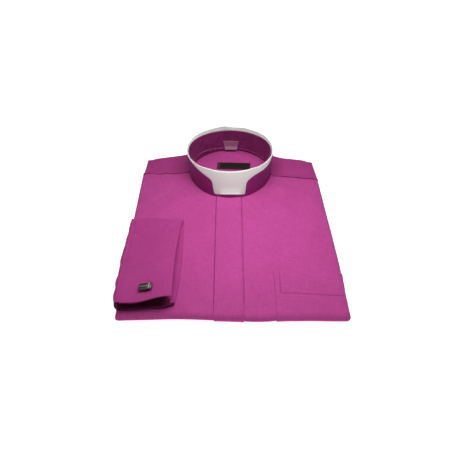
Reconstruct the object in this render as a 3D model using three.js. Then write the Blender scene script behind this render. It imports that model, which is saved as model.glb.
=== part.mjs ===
// Folded clergy shirt lying on its back, neck end at +Y, front uppermost.
// Millimetres, +Z up, table at Z = 0, X = 0 on the placket line.
import * as THREE from 'three';

// ---------------------------------------------------------------- driving sizes
const ORIGIN_Y = 172;          // distance from the front fold to the origin
const CLOTH = 1.5;             // panel wall
const BAND = 1.2;              // collar band wall
const CUFF = 1.0;              // cuff wall, one of the turned layers
const GAP = 0.3;               // between neighbouring pieces
const NECK_GAP = 1.1;          // between the neckline edge and the collar
const FOLD_R = 7;              // plan width of the rounded folds
const FOLD_STEPS = 4;
const CORNER_POWER = 0.34;     // below 1 squares the corners seen from above
const SIDE_LIFT = 5;           // underside of the upper body fold at the sides
const END_LIFT = 1.8;          // underside of the tucked cloth at the front and neck end
const EDGE_Z = 12;             // top of the stack at its folds
const CROWN = 5;               // extra height at the middle
// collar outline at its base and its rim: middle, half width, reach to the front and to the back
const NECK = { x: 2.3, y: 285.5, rx: 63.6, front: 75.2, back: 57.5 };
const RIM = { x: 1.2, y: 277.6, rx: 65.25, front: 58.7, back: 58.7, z: 57 };
const PLACKET_WALL = 1.2;
const POCKET = { left: 57, top: 68, wall: 1.0, hemWall: 1.6 };
const LABEL = { x: 7.4, y: 297.2, w: 52.5, l: 17.6, wall: 0.6, turn: -0.05 };
const SIZE_TAB = { top: 26.5, bottom: 21.4, h: 18, z: 13.9, wall: 0.5, aside: 1.2 };
const CUFF_BOX = { seam: -131, wrist: -66.5, edge: -135.5, near: 10, far: 163.6 };
const LINK = { x: -98.9, y: 27.6, w: 16.4, d: 9.4, h: 3.2, post: 0.9 };

// half widths of the folded body: y, left fold, right fold
const SIDES = [
  { y: -5, left: -135.4, right: 143.6 },
  { y: 40, left: -135.8, right: 143.3 },
  { y: 66, left: -136, right: 144 },
  { y: 98, left: -136, right: 143.6 },
  { y: 143, left: -136, right: 142.1 },
  { y: 193, left: -135.6, right: 140 },
  { y: 248, left: -134.8, right: 138 },
  { y: 272, left: -134.6, right: 136.9 },
  { y: 290, left: -132.8, right: 135.4 },
  { y: 325, left: -131.4, right: 133 },
];
// front fold and neck-end fold: x, front, back
const ENDS = [
  { x: -150, front: -2, back: 313 },
  { x: -131, front: -1.4, back: 317 },
  { x: -118, front: -0.9, back: 322 },
  { x: -100, front: -0.5, back: 324.5 },
  { x: -69, front: 0.6, back: 331 },
  { x: -45, front: 0.2, back: 342.5 },
  { x: -20, front: -0.9, back: 352.5 },
  { x: 10, front: -1.6, back: 354 },
  { x: 24, front: -3, back: 351.5 },
  { x: 44, front: -3, back: 344 },
  { x: 60, front: -1.4, back: 334 },
  { x: 74, front: -0.7, back: 326 },
  { x: 88, front: -0.6, back: 319 },
  { x: 105, front: -0.7, back: 317.5 },
  { x: 122, front: -0.8, back: 313 },
  { x: 134, front: -1, back: 309 },
  { x: 150, front: -1.2, back: 305 },
];
// yoke seam across the shoulders: x, y
const SEAM = [
  { x: -150, y: 275.6 },
  { x: -131, y: 274.8 },
  { x: -69, y: 269.8 },
  { x: 65, y: 267 },
  { x: 136, y: 262.4 },
  { x: 150, y: 261.6 },
];
// plan of the cuff: wrist fold of the upper and the lower pair of layers, and free edge
const WRIST = [
  { y: 10, upper: -67.7, lower: -67 },
  { y: 28, upper: -68, lower: -64.2 },
  { y: 56, upper: -68.2, lower: -62.2 },
  { y: 90, upper: -68.3, lower: -61.4 },
  { y: 117, upper: -67.2, lower: -61.9 },
  { y: 132, upper: -66.8, lower: -62.3 },
  { y: 145, upper: -65.7, lower: -62.7 },
  { y: 158, upper: -63.1, lower: -63.1 },
];
const FREE_EDGE = [
  { y: 8, x: -133.4 },
  { y: 30, x: -134.8 },
  { y: 60, x: -135.5 },
  { y: 160, x: -135.5 },
];
// outermost line of the sleeve round the left fold
const SLEEVE_EDGE = [
  { y: 8, x: -138.2 },
  { y: 15, x: -138.4 },
  { y: 25, x: -140.9 },
  { y: 38, x: -141 },
  { y: 51, x: -142.2 },
  { y: 61, x: -140.8 },
  { y: 78, x: -141.6 },
  { y: 92, x: -142.1 },
  { y: 107, x: -141.5 },
  { y: 122, x: -141 },
  { y: 137, x: -140 },
  { y: 145, x: -139.4 },
  { y: 153, x: -140.3 },
  { y: 164, x: -139.8 },
];

// ---------------------------------------------------------------- small maths
const clamp = (v, a, b) => Math.min(b, Math.max(a, v));
const lerp = (a, b, t) => a + (b - a) * t;
const smooth = (a, b, v) => {
  const t = clamp((v - a) / (b - a), 0, 1);
  return t * t * (3 - 2 * t);
};
// table lookup with smooth joins between the rows
function look(table, key, column, v) {
  const last = table.length - 1;
  if (v <= table[0][key]) return table[0][column];
  if (v >= table[last][key]) return table[last][column];
  let i = 0;
  while (table[i + 1][key] < v) i += 1;
  const p0 = table[Math.max(i - 1, 0)];
  const p1 = table[i];
  const p2 = table[i + 1];
  const p3 = table[Math.min(i + 2, last)];
  const h = p2[key] - p1[key];
  const t = (v - p1[key]) / h;
  const m1 = (h * (p2[column] - p0[column])) / (p2[key] - p0[key]);
  const m2 = (h * (p3[column] - p1[column])) / (p3[key] - p1[key]);
  const t2 = t * t;
  const t3 = t2 * t;
  return (2 * t3 - 3 * t2 + 1) * p1[column] + (t3 - 2 * t2 + t) * m1
    + (3 * t2 - 2 * t3) * p2[column] + (t3 - t2) * m2;
}
const seamY = (x) => look(SEAM, 'x', 'y', x);
const frontY = (x) => look(ENDS, 'x', 'front', x);
const backY = (x) => look(ENDS, 'x', 'back', x);
const sideX = (sign, y) => look(SIDES, 'y', sign < 0 ? 'left' : 'right', y);

// height of the upper cloth over the table
function topZ(x, y) {
  const across = 1 - Math.abs(clamp((x - 4) / 136, -1, 1)) ** 2.5;
  const rise = smooth(-10, 75, y);
  const fall = smooth(250, 335, y);
  return EDGE_Z + CROWN * across * rise - 4.2 * fall;
}

// ---------------------------------------------------------------- mesh builders
function solid(points, faces) {
  let volume = 0;
  const cross = new THREE.Vector3();
  for (const [a, b, c] of faces) {
    volume += cross.crossVectors(points[a], points[b]).dot(points[c]);
  }
  const position = [];
  for (const p of points) position.push(p.x, p.y - ORIGIN_Y, p.z);
  const index = [];
  for (const [a, b, c] of faces) {
    if (volume > 0) index.push(a, b, c);
    else index.push(a, c, b);
  }
  const geometry = new THREE.BufferGeometry();
  geometry.setAttribute('position', new THREE.Float32BufferAttribute(position, 3));
  geometry.setIndex(index);
  geometry.computeVertexNormals();
  return geometry;
}

// unit normals of a grid of points, looped in the second index when asked
function normals(grid, looped, sign) {
  const rows = grid.length;
  const cols = grid[0].length;
  return grid.map((row, i) => row.map((p, j) => {
    const up = grid[Math.max(i - 1, 0)][j];
    const down = grid[Math.min(i + 1, rows - 1)][j];
    const before = looped ? row[(j + cols - 1) % cols] : row[Math.max(j - 1, 0)];
    const after = looped ? row[(j + 1) % cols] : row[Math.min(j + 1, cols - 1)];
    const du = down.clone().sub(up);
    const dv = after.clone().sub(before);
    return du.cross(dv).normalize().multiplyScalar(sign);
  }));
}

const moved = (grid, n, d) => grid.map((row, i) => row.map((p, j) => {
  const step = typeof d === 'number' ? d : d(i, j);
  return p.clone().addScaledVector(n[i][j], step);
}));

// closed wall between two grids of the same shape
function wall(outer, inner, looped = false) {
  const rows = outer.length;
  const cols = outer[0].length;
  const points = [...outer.flat(), ...inner.flat()];
  const half = rows * cols;
  const at = (i, j) => i * cols + (j % cols);
  const faces = [];
  const quad = (a, b, c, d) => faces.push([a, b, c], [a, c, d]);
  const spans = looped ? cols : cols - 1;
  for (let i = 0; i < rows - 1; i += 1) {
    for (let j = 0; j < spans; j += 1) {
      quad(at(i, j), at(i + 1, j), at(i + 1, j + 1), at(i, j + 1));
      quad(half + at(i, j), half + at(i, j + 1), half + at(i + 1, j + 1), half + at(i + 1, j));
    }
  }
  for (let j = 0; j < spans; j += 1) {
    quad(at(0, j), at(0, j + 1), half + at(0, j + 1), half + at(0, j));
    const r = rows - 1;
    quad(at(r, j + 1), at(r, j), half + at(r, j), half + at(r, j + 1));
  }
  if (!looped) {
    for (let i = 0; i < rows - 1; i += 1) {
      quad(at(i + 1, 0), at(i, 0), half + at(i, 0), half + at(i + 1, 0));
      const c = cols - 1;
      quad(at(i, c), at(i + 1, c), half + at(i + 1, c), half + at(i, c));
    }
  }
  return solid(points, faces);
}

// solid through loops of the same count lying in planes of constant y
function loft(loops) {
  const count = loops[0].length;
  const points = loops.flat();
  const faces = [];
  for (let i = 0; i < loops.length - 1; i += 1) {
    for (let j = 0; j < count; j += 1) {
      const a = i * count + j;
      const b = i * count + ((j + 1) % count);
      faces.push([a, b, b + count], [a, b + count, a + count]);
    }
  }
  const cap = (loop, base, flip) => {
    const flat = loop.map((p) => new THREE.Vector2(p.x, p.z));
    for (const [a, b, c] of THREE.ShapeUtils.triangulateShape(flat, [])) {
      faces.push(flip ? [base + a, base + c, base + b] : [base + a, base + b, base + c]);
    }
  };
  const first = THREE.ShapeUtils.area(loops[0].map((p) => new THREE.Vector2(p.x, p.z))) > 0;
  cap(loops[0], 0, first);
  cap(loops[loops.length - 1], (loops.length - 1) * count, !first);
  return solid(points, faces);
}

// ---------------------------------------------------------------- folded panels
// One cell corner of a panel that rolls over a side fold and an end fold.
// p and q run from 0 on the flat to 1 at the tuck of the side and end folds.
function rolled(sign, end, x, y, p, q) {
  const w = Math.max(p, q);
  if (w === 0) return new THREE.Vector3(x, y, topZ(x, y));
  let theta = 0;
  if (q > 0) theta = p >= q ? (Math.PI / 4) * (q / p) : Math.PI / 2 - (Math.PI / 4) * (p / q);
  const out = FOLD_R * Math.sin(Math.PI * w);
  const top = topZ(x, y);
  const low = lerp(END_LIFT, SIDE_LIFT, Math.cos(theta) ** 4);
  const mid = (top + low) / 2;
  const half = (top - low) / 2;
  return new THREE.Vector3(
    x + sign * out * Math.max(Math.cos(theta), 0) ** CORNER_POWER,
    y + end * out * Math.sin(theta) ** CORNER_POWER,
    mid + half * Math.cos(Math.PI * w),
  );
}

// nominal columns from the placket out to the side fold, and the rows of the body
const COLUMNS = [0.15, 8, 17.8, 29, 40, 49, 57, 61.5, 64.5, 67.4, 72, 82, 98, 118];
const BODY_ROWS = [200, 172, 144, 116, 90, 68, 56, 38, 20];
const NECK_ROWS = 4;

// outline of the neckline seen from above, moved out by the sewing gap
function necklineY(x, end) {
  const t = (x - NECK.x) / (NECK.rx + NECK_GAP);
  if (Math.abs(t) >= 1) return null;
  const reach = end < 0 ? NECK.front : NECK.back;
  return NECK.y + end * (reach + NECK_GAP) * Math.sqrt(1 - t * t);
}

function panelGrid(sign) {
  const flatEdge = (y) => sideX(sign, y) - sign * FOLD_R;
  const nominal = Math.abs(flatEdge(100));
  const cols = [...COLUMNS, nominal];
  const grid = [];
  const rowCount = NECK_ROWS + BODY_ROWS.length + 1 + FOLD_STEPS;
  for (let r = 0; r < rowCount; r += 1) {
    const row = [];
    for (let c = 0; c < cols.length + FOLD_STEPS; c += 1) {
      const xn = sign * cols[Math.min(c, cols.length - 1)];
      const neck = necklineY(xn, -1);
      const seam = seamY(xn) - 1.5 * GAP;
      const start = neck === null ? seam : Math.min(neck, seam);
      const q = Math.max(0, r - (rowCount - 1 - FOLD_STEPS)) / FOLD_STEPS;
      const last = frontY(xn) + FOLD_R;
      let y = last;
      if (r < NECK_ROWS) y = lerp(start, BODY_ROWS[0], r / NECK_ROWS);
      else if (r < NECK_ROWS + BODY_ROWS.length) y = BODY_ROWS[r - NECK_ROWS];
      const share = clamp((Math.abs(xn) - 76) / (nominal - 76), 0, 1);
      const x = xn + (flatEdge(y) - sign * nominal) * share;
      const p = Math.max(0, c - (cols.length - 1)) / FOLD_STEPS;
      row.push(rolled(sign, -1, x, y, p, q));
    }
    grid.push(row);
  }
  return grid;
}

const rightGrid = panelGrid(-1);
const leftGrid = panelGrid(1);
const rightNormals = normals(rightGrid, false, -1);
const leftNormals = normals(leftGrid, false, 1);

// ---------------------------------------------------------------- yoke
const YOKE_HALF = [12, 26, 38, 48, 56, 60.8, 63.2, 64.4];
const YOKE_SIDE = [65.6, 69, 78, 96, 115];
const YOKE_HUG = 12;              // width over which the side columns follow the collar
const YOKE_ROWS = 4;

function yokeGrid() {
  const flatEdge = (sign, y) => sideX(sign, y) - sign * FOLD_R;
  const side = [...YOKE_SIDE, 0];
  const cols = [];
  for (let k = FOLD_STEPS; k > 0; k -= 1) cols.push({ sign: -1, x: 0, p: k / FOLD_STEPS });
  for (const v of [...side].reverse()) cols.push({ sign: -1, x: v, p: 0 });
  for (const v of [...YOKE_HALF].reverse()) cols.push({ sign: -1, x: v, p: 0, neck: true });
  cols.push({ sign: 1, x: 0.001, p: 0, neck: true });
  for (const v of YOKE_HALF) cols.push({ sign: 1, x: v, p: 0, neck: true });
  for (const v of side) cols.push({ sign: 1, x: v, p: 0 });
  for (let k = 1; k <= FOLD_STEPS; k += 1) cols.push({ sign: 1, x: 0, p: k / FOLD_STEPS });
  const rows = [];
  for (let r = 0; r <= YOKE_ROWS + FOLD_STEPS; r += 1) {
    const row = [];
    for (const col of cols) {
      const edge = col.x === 0;
      const xn = edge ? flatEdge(col.sign, 290) : NECK.x + col.sign * col.x;
      const start = col.neck ? necklineY(xn, 1) + GAP : seamY(xn);
      const last = backY(xn) - FOLD_R;
      const q = Math.max(0, r - YOKE_ROWS) / FOLD_STEPS;
      const y = lerp(start, last, Math.min(r / YOKE_ROWS, 1));
      const ring = NECK.rx + NECK_GAP + GAP;
      const k = clamp((NECK.y - y) / (NECK.front + NECK_GAP + GAP), 0, 1);
      const hug = col.neck ? 0 : ring * (1 - Math.sqrt(1 - k * k))
        * (1 - smooth(YOKE_SIDE[0], YOKE_SIDE[0] + YOKE_HUG, col.x));
      const x = edge ? flatEdge(col.sign, y) : xn - col.sign * hug;
      row.push(rolled(col.sign, 1, x, y, col.p, q));
    }
    rows.push(row);
  }
  return rows;
}

// ---------------------------------------------------------------- collar rings
// radial position in the stack of bands: 0 is the outer face of the outer band
function ringPoint(angle, z, inward) {
  const base = topZ(NECK.x, NECK.y - NECK.front);
  const t = clamp((z - base) / (RIM.z - base), -0.2, 1.1);
  const side = Math.cos(angle) > 0 ? 'front' : 'back';
  const rx = lerp(NECK.rx, RIM.rx, t) - inward;
  const ry = lerp(NECK[side], RIM[side], t) - inward;
  return new THREE.Vector3(
    lerp(NECK.x, RIM.x, t) + rx * Math.sin(angle),
    lerp(NECK.y, RIM.y, t) - ry * Math.cos(angle),
    z,
  );
}
const ringBase = (angle) => {
  const foot = ringPoint(angle, topZ(NECK.x, NECK.y - NECK.front), 0);
  return topZ(foot.x, foot.y) - CLOTH;
};
// degrees from the middle front to the middle back, closer where the window edge climbs
const RING_STEPS = [0, 8, 16, 19.5, 20.5, 21.2, 22.2, 23.2, 24.2, 25.6, 28, 32, 38, 46, 54, 62, 70,
  78, 87, 97, 107, 117, 127, 137, 147, 157, 167, 174];
const RING_ANGLES = [
  ...RING_STEPS,
  180,
  ...RING_STEPS.slice(1).reverse().map((d) => 360 - d),
].map((d) => (d * Math.PI) / 180);
const fromFront = (angle) => {
  const d = (angle * 180) / Math.PI;
  return d > 180 ? d - 360 : d;
};

// top of the outer band: degrees from the front towards +X, distance under the rim
const WINDOW = [
  { deg: -180, drop: 3.4 },
  { deg: -110, drop: 3 },
  { deg: -84, drop: 3.4 },
  { deg: -65, drop: 4.2 },
  { deg: -57, drop: 5 },
  { deg: -50, drop: 6.9 },
  { deg: -42, drop: 9.2 },
  { deg: -34, drop: 12.3 },
  { deg: -29, drop: 14.4 },
  { deg: -26.2, drop: 16.4 },
  { deg: -24.9, drop: 19 },
  { deg: -24.1, drop: 24.6 },
  { deg: -23.5, drop: 30.5 },
  { deg: -22.4, drop: 35.9 },
  { deg: -20, drop: 37.3 },
  { deg: 0, drop: 35.6 },
  { deg: 18, drop: 37.3 },
  { deg: 20, drop: 36.3 },
  { deg: 20.8, drop: 30.4 },
  { deg: 21.4, drop: 25 },
  { deg: 22.4, drop: 19.6 },
  { deg: 25, drop: 16.2 },
  { deg: 29.4, drop: 13.7 },
  { deg: 34, drop: 12 },
  { deg: 42, drop: 10.8 },
  { deg: 53, drop: 10.3 },
  { deg: 66, drop: 10 },
  { deg: 80, drop: 8 },
  { deg: 95, drop: 5 },
  { deg: 115, drop: 3.2 },
  { deg: 180, drop: 3.4 },
];
// rim of the insert over its level height, with the lapped ends at the back
const RIM_RISE = [
  { deg: -180, rise: 1.4 },
  { deg: -176, rise: 2.2 },
  { deg: -172, rise: 3.2 },
  { deg: -166, rise: 2.8 },
  { deg: -159, rise: 2.3 },
  { deg: -144, rise: 1.9 },
  { deg: -134, rise: 1.8 },
  { deg: -122, rise: 1.2 },
  { deg: -110, rise: 0.6 },
  { deg: -95, rise: 0.1 },
  { deg: 80, rise: 0 },
  { deg: 95, rise: 0.5 },
  { deg: 108, rise: 1.6 },
  { deg: 122, rise: 2.4 },
  { deg: 135, rise: 2.1 },
  { deg: 150, rise: 2 },
  { deg: 160, rise: 2.1 },
  { deg: 166, rise: 1.5 },
  { deg: 173, rise: 1.2 },
  { deg: 180, rise: 1.4 },
];
// top of the inner band: degrees from the front, distance under the rim
const INNER_TOP = [
  { deg: 0, drop: 3 },
  { deg: 60, drop: 1.4 },
  { deg: 100, drop: 1.2 },
  { deg: 120, drop: 2 },
  { deg: 135, drop: 3 },
  { deg: 150, drop: 3.7 },
  { deg: 180, drop: 4 },
];
const bandTop = (angle) => RIM.z - look(WINDOW, 'deg', 'drop', fromFront(angle));
const innerTop = (angle) => RIM.z - look(INNER_TOP, 'deg', 'drop', Math.abs(fromFront(angle)));
const rimTop = (angle) => RIM.z + look(RIM_RISE, 'deg', 'rise', fromFront(angle));

// closed wall round the neck; levelsOf gives the height and depth of each level at an angle
function ring(thick, levelsOf) {
  const levels = RING_ANGLES.map(levelsOf);
  const face = (more) => levels[0].map((_, r) => RING_ANGLES.map(
    (a, j) => ringPoint(a, levels[j][r].z, levels[j][r].depth + more),
  ));
  return wall(face(0), face(thick), true);
}
const evenLevels = (low, high, rows, depth) => Array.from(
  { length: rows + 1 },
  (_, r) => ({ z: lerp(low, high, r / rows), depth }),
);

const BAND_STEP = BAND + GAP;
// the insert leans out over the band it shows above, away from the window's upright edges
const LIP = { from: GAP, to: 1.3, out: 1.1 };
function insertLevels(angle) {
  const d = Math.abs(fromFront(angle));
  const lip = LIP.out * Math.max(smooth(30, 42, d), 1 - smooth(8, 15, d));
  const top = bandTop(angle);
  return [
    { z: ringBase(angle) + 0.4, depth: BAND_STEP },
    { z: top + LIP.from, depth: BAND_STEP },
    { z: Math.min(top + LIP.to, rimTop(angle) - 0.4), depth: BAND_STEP - lip },
    { z: rimTop(angle), depth: BAND_STEP - lip },
  ];
}

// ---------------------------------------------------------------- neck floor
const FLOOR = { inset: 1.6, z: 10.0, steps: 14 };
const floorZ = (x, y) => FLOOR.z - 0.4 * smooth(0, 60, Math.abs(x - 12) * 0.8)
  + 0.35 * Math.exp(-(((x - 30) + (y - 300) * 0.5) ** 2) / 60);

function floorGrid(drop) {
  const grid = [];
  for (let i = 0; i <= FLOOR.steps; i += 1) {
    const row = [];
    for (let j = 0; j <= FLOOR.steps; j += 1) {
      const a = lerp(-1, 1, i / FLOOR.steps);
      const b = lerp(-1, 1, j / FLOOR.steps);
      const u = a * Math.sqrt(1 - (b * b) / 2);
      const v = b * Math.sqrt(1 - (a * a) / 2);
      const reach = v < 0 ? NECK.front : NECK.back;
      const x = NECK.x + u * (NECK.rx - FLOOR.inset);
      const y = NECK.y + v * (reach - FLOOR.inset);
      row.push(new THREE.Vector3(x, y, floorZ(x, y) - drop));
    }
    grid.push(row);
  }
  return grid;
}

// small woven label lying on the neck floor
function labelGrid(lift) {
  const grid = [];
  for (let i = 0; i <= 2; i += 1) {
    const row = [];
    for (let j = 0; j <= 6; j += 1) {
      const u = lerp(-0.5, 0.5, j / 6) * LABEL.w;
      const v = lerp(-0.5, 0.5, i / 2) * LABEL.l;
      const x = LABEL.x + u * Math.cos(LABEL.turn) - v * Math.sin(LABEL.turn);
      const y = LABEL.y + u * Math.sin(LABEL.turn) + v * Math.cos(LABEL.turn);
      row.push(new THREE.Vector3(x, y, floorZ(x, y) + 0.25 + lift));
    }
    grid.push(row);
  }
  return grid;
}

// size tab hanging from the seam inside the back of the collar
function tabGrid(depth) {
  const grid = [];
  for (let i = 0; i <= 3; i += 1) {
    const row = [];
    for (let j = 0; j <= 4; j += 1) {
      const width = lerp(SIZE_TAB.bottom, SIZE_TAB.top, i / 3);
      const z = SIZE_TAB.z + (SIZE_TAB.h * i) / 3;
      const u = lerp(-0.5, 0.5, j / 4) * width;
      row.push(ringPoint(Math.PI - (u + SIZE_TAB.aside) / NECK.rx, z, depth));
    }
    grid.push(row);
  }
  return grid;
}

// ---------------------------------------------------------------- cuff and sleeve
// The turned-back cuff is a flattened tube along X, open at its near ends.
const PAIR = { split: 0.5, turn: 2.1 };
const PAIR_OFF = CUFF / 2 + PAIR.split / 2;

// middle heights of the lower and upper pairs of cuff layers
const lowerMid = (x, y) => topZ(clamp(x, -129, 0), y) + GAP + 0.25 + PAIR_OFF + CUFF / 2
  + 0.8 * smooth(60, 10, y) * smooth(-110, -70, x);
function upperMid(x, y) {
  const far = lowerMid(x, y) + 2 * PAIR.turn;
  const openLeft = 8.5 * smooth(150, 12, y) ** 1.3;
  const openRight = 14.5 * smooth(158, 14, y) ** 1.1;
  const bow = 1.2 * Math.sin(Math.PI * clamp((y - 10) / 150, 0, 1));
  return far + lerp(openLeft, openRight, smooth(-118, -72, x)) + bow;
}
const nearUpper = (x) => CUFF_BOX.near - 1.4 + 4.6 * smooth(-118, -72, x);
const nearLower = (x) => CUFF_BOX.near - 1.2 + 2.2 * smooth(-125, -95, x)
  + 5 * smooth(-88, -64, x) ** 2;
const farFold = (x) => CUFF_BOX.far - 5.6 * smooth(-125, -55, x);
// plan position of a cuff point, led by the wrist fold and the free edge;
// share runs from 0 in the upper pair of layers to 1 in the lower
function cuffX(x, y, share) {
  const u = (x - CUFF_BOX.edge) / (CUFF_BOX.wrist - CUFF_BOX.edge);
  const fold = lerp(look(WRIST, 'y', 'upper', y), look(WRIST, 'y', 'lower', y), share);
  const wrist = fold - CUFF_BOX.wrist;
  const edge = look(FREE_EDGE, 'y', 'x', y) - CUFF_BOX.edge;
  return x + lerp(edge, wrist, u);
}

const CUFF_RUN = 9;
const CUFF_TURN = 4;
// point of the tube section at position v: upper run, far fold, lower run
function tubePoint(x, v, push) {
  const far = farFold(x) - PAIR.turn;
  const lowFar = lowerMid(x, far);
  if (v <= CUFF_RUN) {
    const y = lerp(nearUpper(x), far, v / CUFF_RUN);
    return new THREE.Vector3(cuffX(x, y, 0), y, upperMid(x, y) + push);
  }
  if (v < CUFF_RUN + CUFF_TURN) {
    const phi = Math.PI * ((v - CUFF_RUN) / CUFF_TURN);
    const half = (upperMid(x, far) - lowFar) / 2;
    return new THREE.Vector3(
      cuffX(x, far, phi / Math.PI),
      far + (PAIR.turn + push) * Math.sin(phi),
      lowFar + half + (half + push) * Math.cos(phi),
    );
  }
  const y = lerp(far, nearLower(x), (v - CUFF_RUN - CUFF_TURN) / CUFF_RUN);
  return new THREE.Vector3(cuffX(x, y, 1), y, lowerMid(x, y) - push);
}

// across the cuff: sleeve seam, wrist fold, back to the free edge
function cuffPath() {
  const path = [];
  const inner = [0, 0.34, 0.68, 0.9, 1];
  for (const t of inner) path.push({ x: lerp(CUFF_BOX.seam, CUFF_BOX.wrist - 0.9, t), push: -PAIR_OFF });
  const bend = 4;
  for (let k = 1; k < bend; k += 1) {
    const phi = (Math.PI * k) / bend;
    path.push({
      x: CUFF_BOX.wrist - 0.9 + PAIR_OFF * Math.sin(phi),
      push: -PAIR_OFF * Math.cos(phi),
    });
  }
  const outer = [0, 0.08, 0.25, 0.45, 0.65, 0.85, 1];
  for (const t of outer) path.push({ x: lerp(CUFF_BOX.wrist - 0.9, CUFF_BOX.edge, t), push: PAIR_OFF });
  return path;
}

function cuffWall() {
  const total = 2 * CUFF_RUN + CUFF_TURN;
  const mid = cuffPath().map(({ x, push }) => {
    const row = [];
    for (let v = 0; v <= total; v += 1) row.push(tubePoint(x, v, push));
    return row;
  });
  const n = normals(mid, false, 1);
  return wall(moved(mid, n, CUFF / 2), moved(mid, n, -CUFF / 2));
}

// sleeve: the same tube carried round the left fold and tucked under the body
const SLEEVE_OUT = [
  { t: 0, x: -134.0, z: 1 },
  { t: 0.2, x: -137.6, z: 0.9 },
  { t: 0.4, x: -139.8, z: 0.66 },
  { t: 0.6, x: -140.2, z: 0.4 },
  { t: 0.8, x: -138.4, z: 0.14 },
  { t: 1, x: -134.5, z: 0 },
];
const SLEEVE_MID = 140.6;         // reach of the curve above before the edge line is added
const SLEEVE_RUN = 16;
const SLEEVE_BACK = 9;            // how far the opening draws back towards the table

function sleeveWall() {
  const grid = [];
  const rows = 12;
  for (let i = 0; i <= rows; i += 1) {
    const t = i / rows;
    const row = [];
    for (let k = 0; k <= SLEEVE_RUN; k += 1) {
      const near = CUFF_BOX.near - 1 + SLEEVE_BACK * t ** 0.6;
      const y = lerp(near, CUFF_BOX.far - 0.8, k / SLEEVE_RUN);
      const top = upperMid(-134, y) - PAIR_OFF - CUFF / 2;
      const swell = Math.sin(Math.PI * t);
      const x = look(SLEEVE_OUT, 't', 'x', t) + (look(SLEEVE_EDGE, 'y', 'x', y) + SLEEVE_MID) * swell;
      row.push(new THREE.Vector3(x, y, look(SLEEVE_OUT, 't', 'z', t) * top));
    }
    grid.push(row);
  }
  const n = normals(grid, false, 1);
  return wall(grid, moved(grid, n, CLOTH));
}

// ---------------------------------------------------------------- hidden layers
const INSET = CLOTH + GAP;
const CORE_TOP = 20;
const LOWER_RISE = SIDE_LIFT - GAP;
const SLEEVE_NOTCH = { from: 2, to: 174, depth: 9 };
const WELL = 8;                   // the layers stay low this far outside the collar's foot
const FRONT_IN = 0.9;             // the lower layers stop behind the deepest part of the front fold

// flat part of the layers under the neck end: y, left, right
const CORE_BACK = [
  { y: 303, left: -122, right: 97 },
  { y: 308, left: -95, right: 76 },
  { y: 316, left: -63, right: 63 },
  { y: 328, left: -46, right: 48 },
  { y: 338, left: -27, right: 32 },
];

// half of a body section: right or left edge from the top fold down to the table
function coreEdge(sign, y, flat, topEdge) {
  const r = FOLD_R - INSET - 2 * GAP - 0.6 * smooth(255, 285, y) - 3.6 * smooth(292, 300, y);
  const notch = sign < 0 && y > SLEEVE_NOTCH.from && y < SLEEVE_NOTCH.to ? SLEEVE_NOTCH.depth : 0;
  const low = SIDE_LIFT + INSET + 0.35;
  const mid = (topEdge + low) / 2;
  const half = (topEdge - low) / 2;
  const edge = [];
  for (const deg of [62, 30, 0, -30, -62]) {
    const a = (deg * Math.PI) / 180;
    edge.push([flat + sign * r * Math.cos(a), mid + half * Math.sin(a)]);
  }
  const tuck = flat - sign * (0.6 + notch);
  edge.push([flat - sign * 0.5, low]);
  edge.push([tuck, LOWER_RISE + 0.6]);
  edge.push([tuck, LOWER_RISE - 0.6 * smooth(24, 9, y)]);
  const pull = 1 + notch * 1.3 + 5 * smooth(24, 9, y) + 7 * smooth(292, 300, y);
  const out = flat + sign * (FOLD_R - pull);
  edge.push([out - sign * 1.6, LOWER_RISE - 0.6 * smooth(24, 9, y)]);
  edge.push([out, LOWER_RISE * 0.55]);
  edge.push([out - sign * 0.8, 0.9]);
  edge.push([out - sign * 2.6, 0]);
  return edge;
}

// top of the hidden layers: under the panels, sunk below the neck floor
function coreTop(x, y) {
  const dx = (x - NECK.x) / (NECK.rx + WELL);
  const dy = (y - NECK.y) / ((y < NECK.y ? NECK.front : NECK.back) + WELL);
  const d = Math.hypot(dx, dy);
  const cover = topZ(x, y) - INSET - 0.3;
  const sunk = FLOOR.z - 0.4 - BAND - GAP - 0.9;
  return lerp(Math.min(sunk, cover), cover, smooth(1, 1.12, d));
}

// the front fold bows a little; the top layer follows it and the lower ones stay behind it
const frontShift = (x, y, top) => (top ? frontY(x) : FRONT_IN) * smooth(40, 12, y);

function coreLoop(y, left, right) {
  const leftFlat = left ?? sideX(-1, y) + FOLD_R;
  const rightFlat = right ?? sideX(1, y) - FOLD_R;
  const loop = [];
  for (let k = 0; k <= CORE_TOP; k += 1) {
    const x = lerp(leftFlat, rightFlat, k / CORE_TOP);
    loop.push([x, coreTop(x, y)]);
  }
  loop.push(...coreEdge(1, y, rightFlat, coreTop(rightFlat, y)));
  loop.push(...coreEdge(-1, y, leftFlat, coreTop(leftFlat, y)).reverse());
  return loop.map(([x, z], k) => new THREE.Vector3(x, y + frontShift(x, y, k <= CORE_TOP), z));
}

// rounded end of the hidden layers inside the front fold or the neck-end fold
function coreNose(y, scale) {
  const leftFlat = sideX(-1, y) + FOLD_R + 1;
  const rightFlat = sideX(1, y) - FOLD_R - 1;
  const loop = [];
  const shape = (x, z) => {
    const top = coreTop(x, y);
    const low = END_LIFT + INSET + 0.1;
    const mid = (top + low) / 2;
    return [x, mid + (z * scale * (top - low)) / 2];
  };
  for (let k = 0; k <= CORE_TOP; k += 1) {
    loop.push(shape(lerp(leftFlat, rightFlat, k / CORE_TOP), 1));
  }
  const drops = [0.9, 0.7, 0.5, 0.3, 0.1, -0.1, -0.25, -0.4, -0.55, -0.7, -0.85, -1];
  for (const d of drops) loop.push(shape(rightFlat, d));
  for (const d of [...drops].reverse()) loop.push(shape(leftFlat, d));
  return loop.map(([x, z], k) => new THREE.Vector3(x, y + frontShift(x, y, k <= CORE_TOP), z));
}

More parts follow.
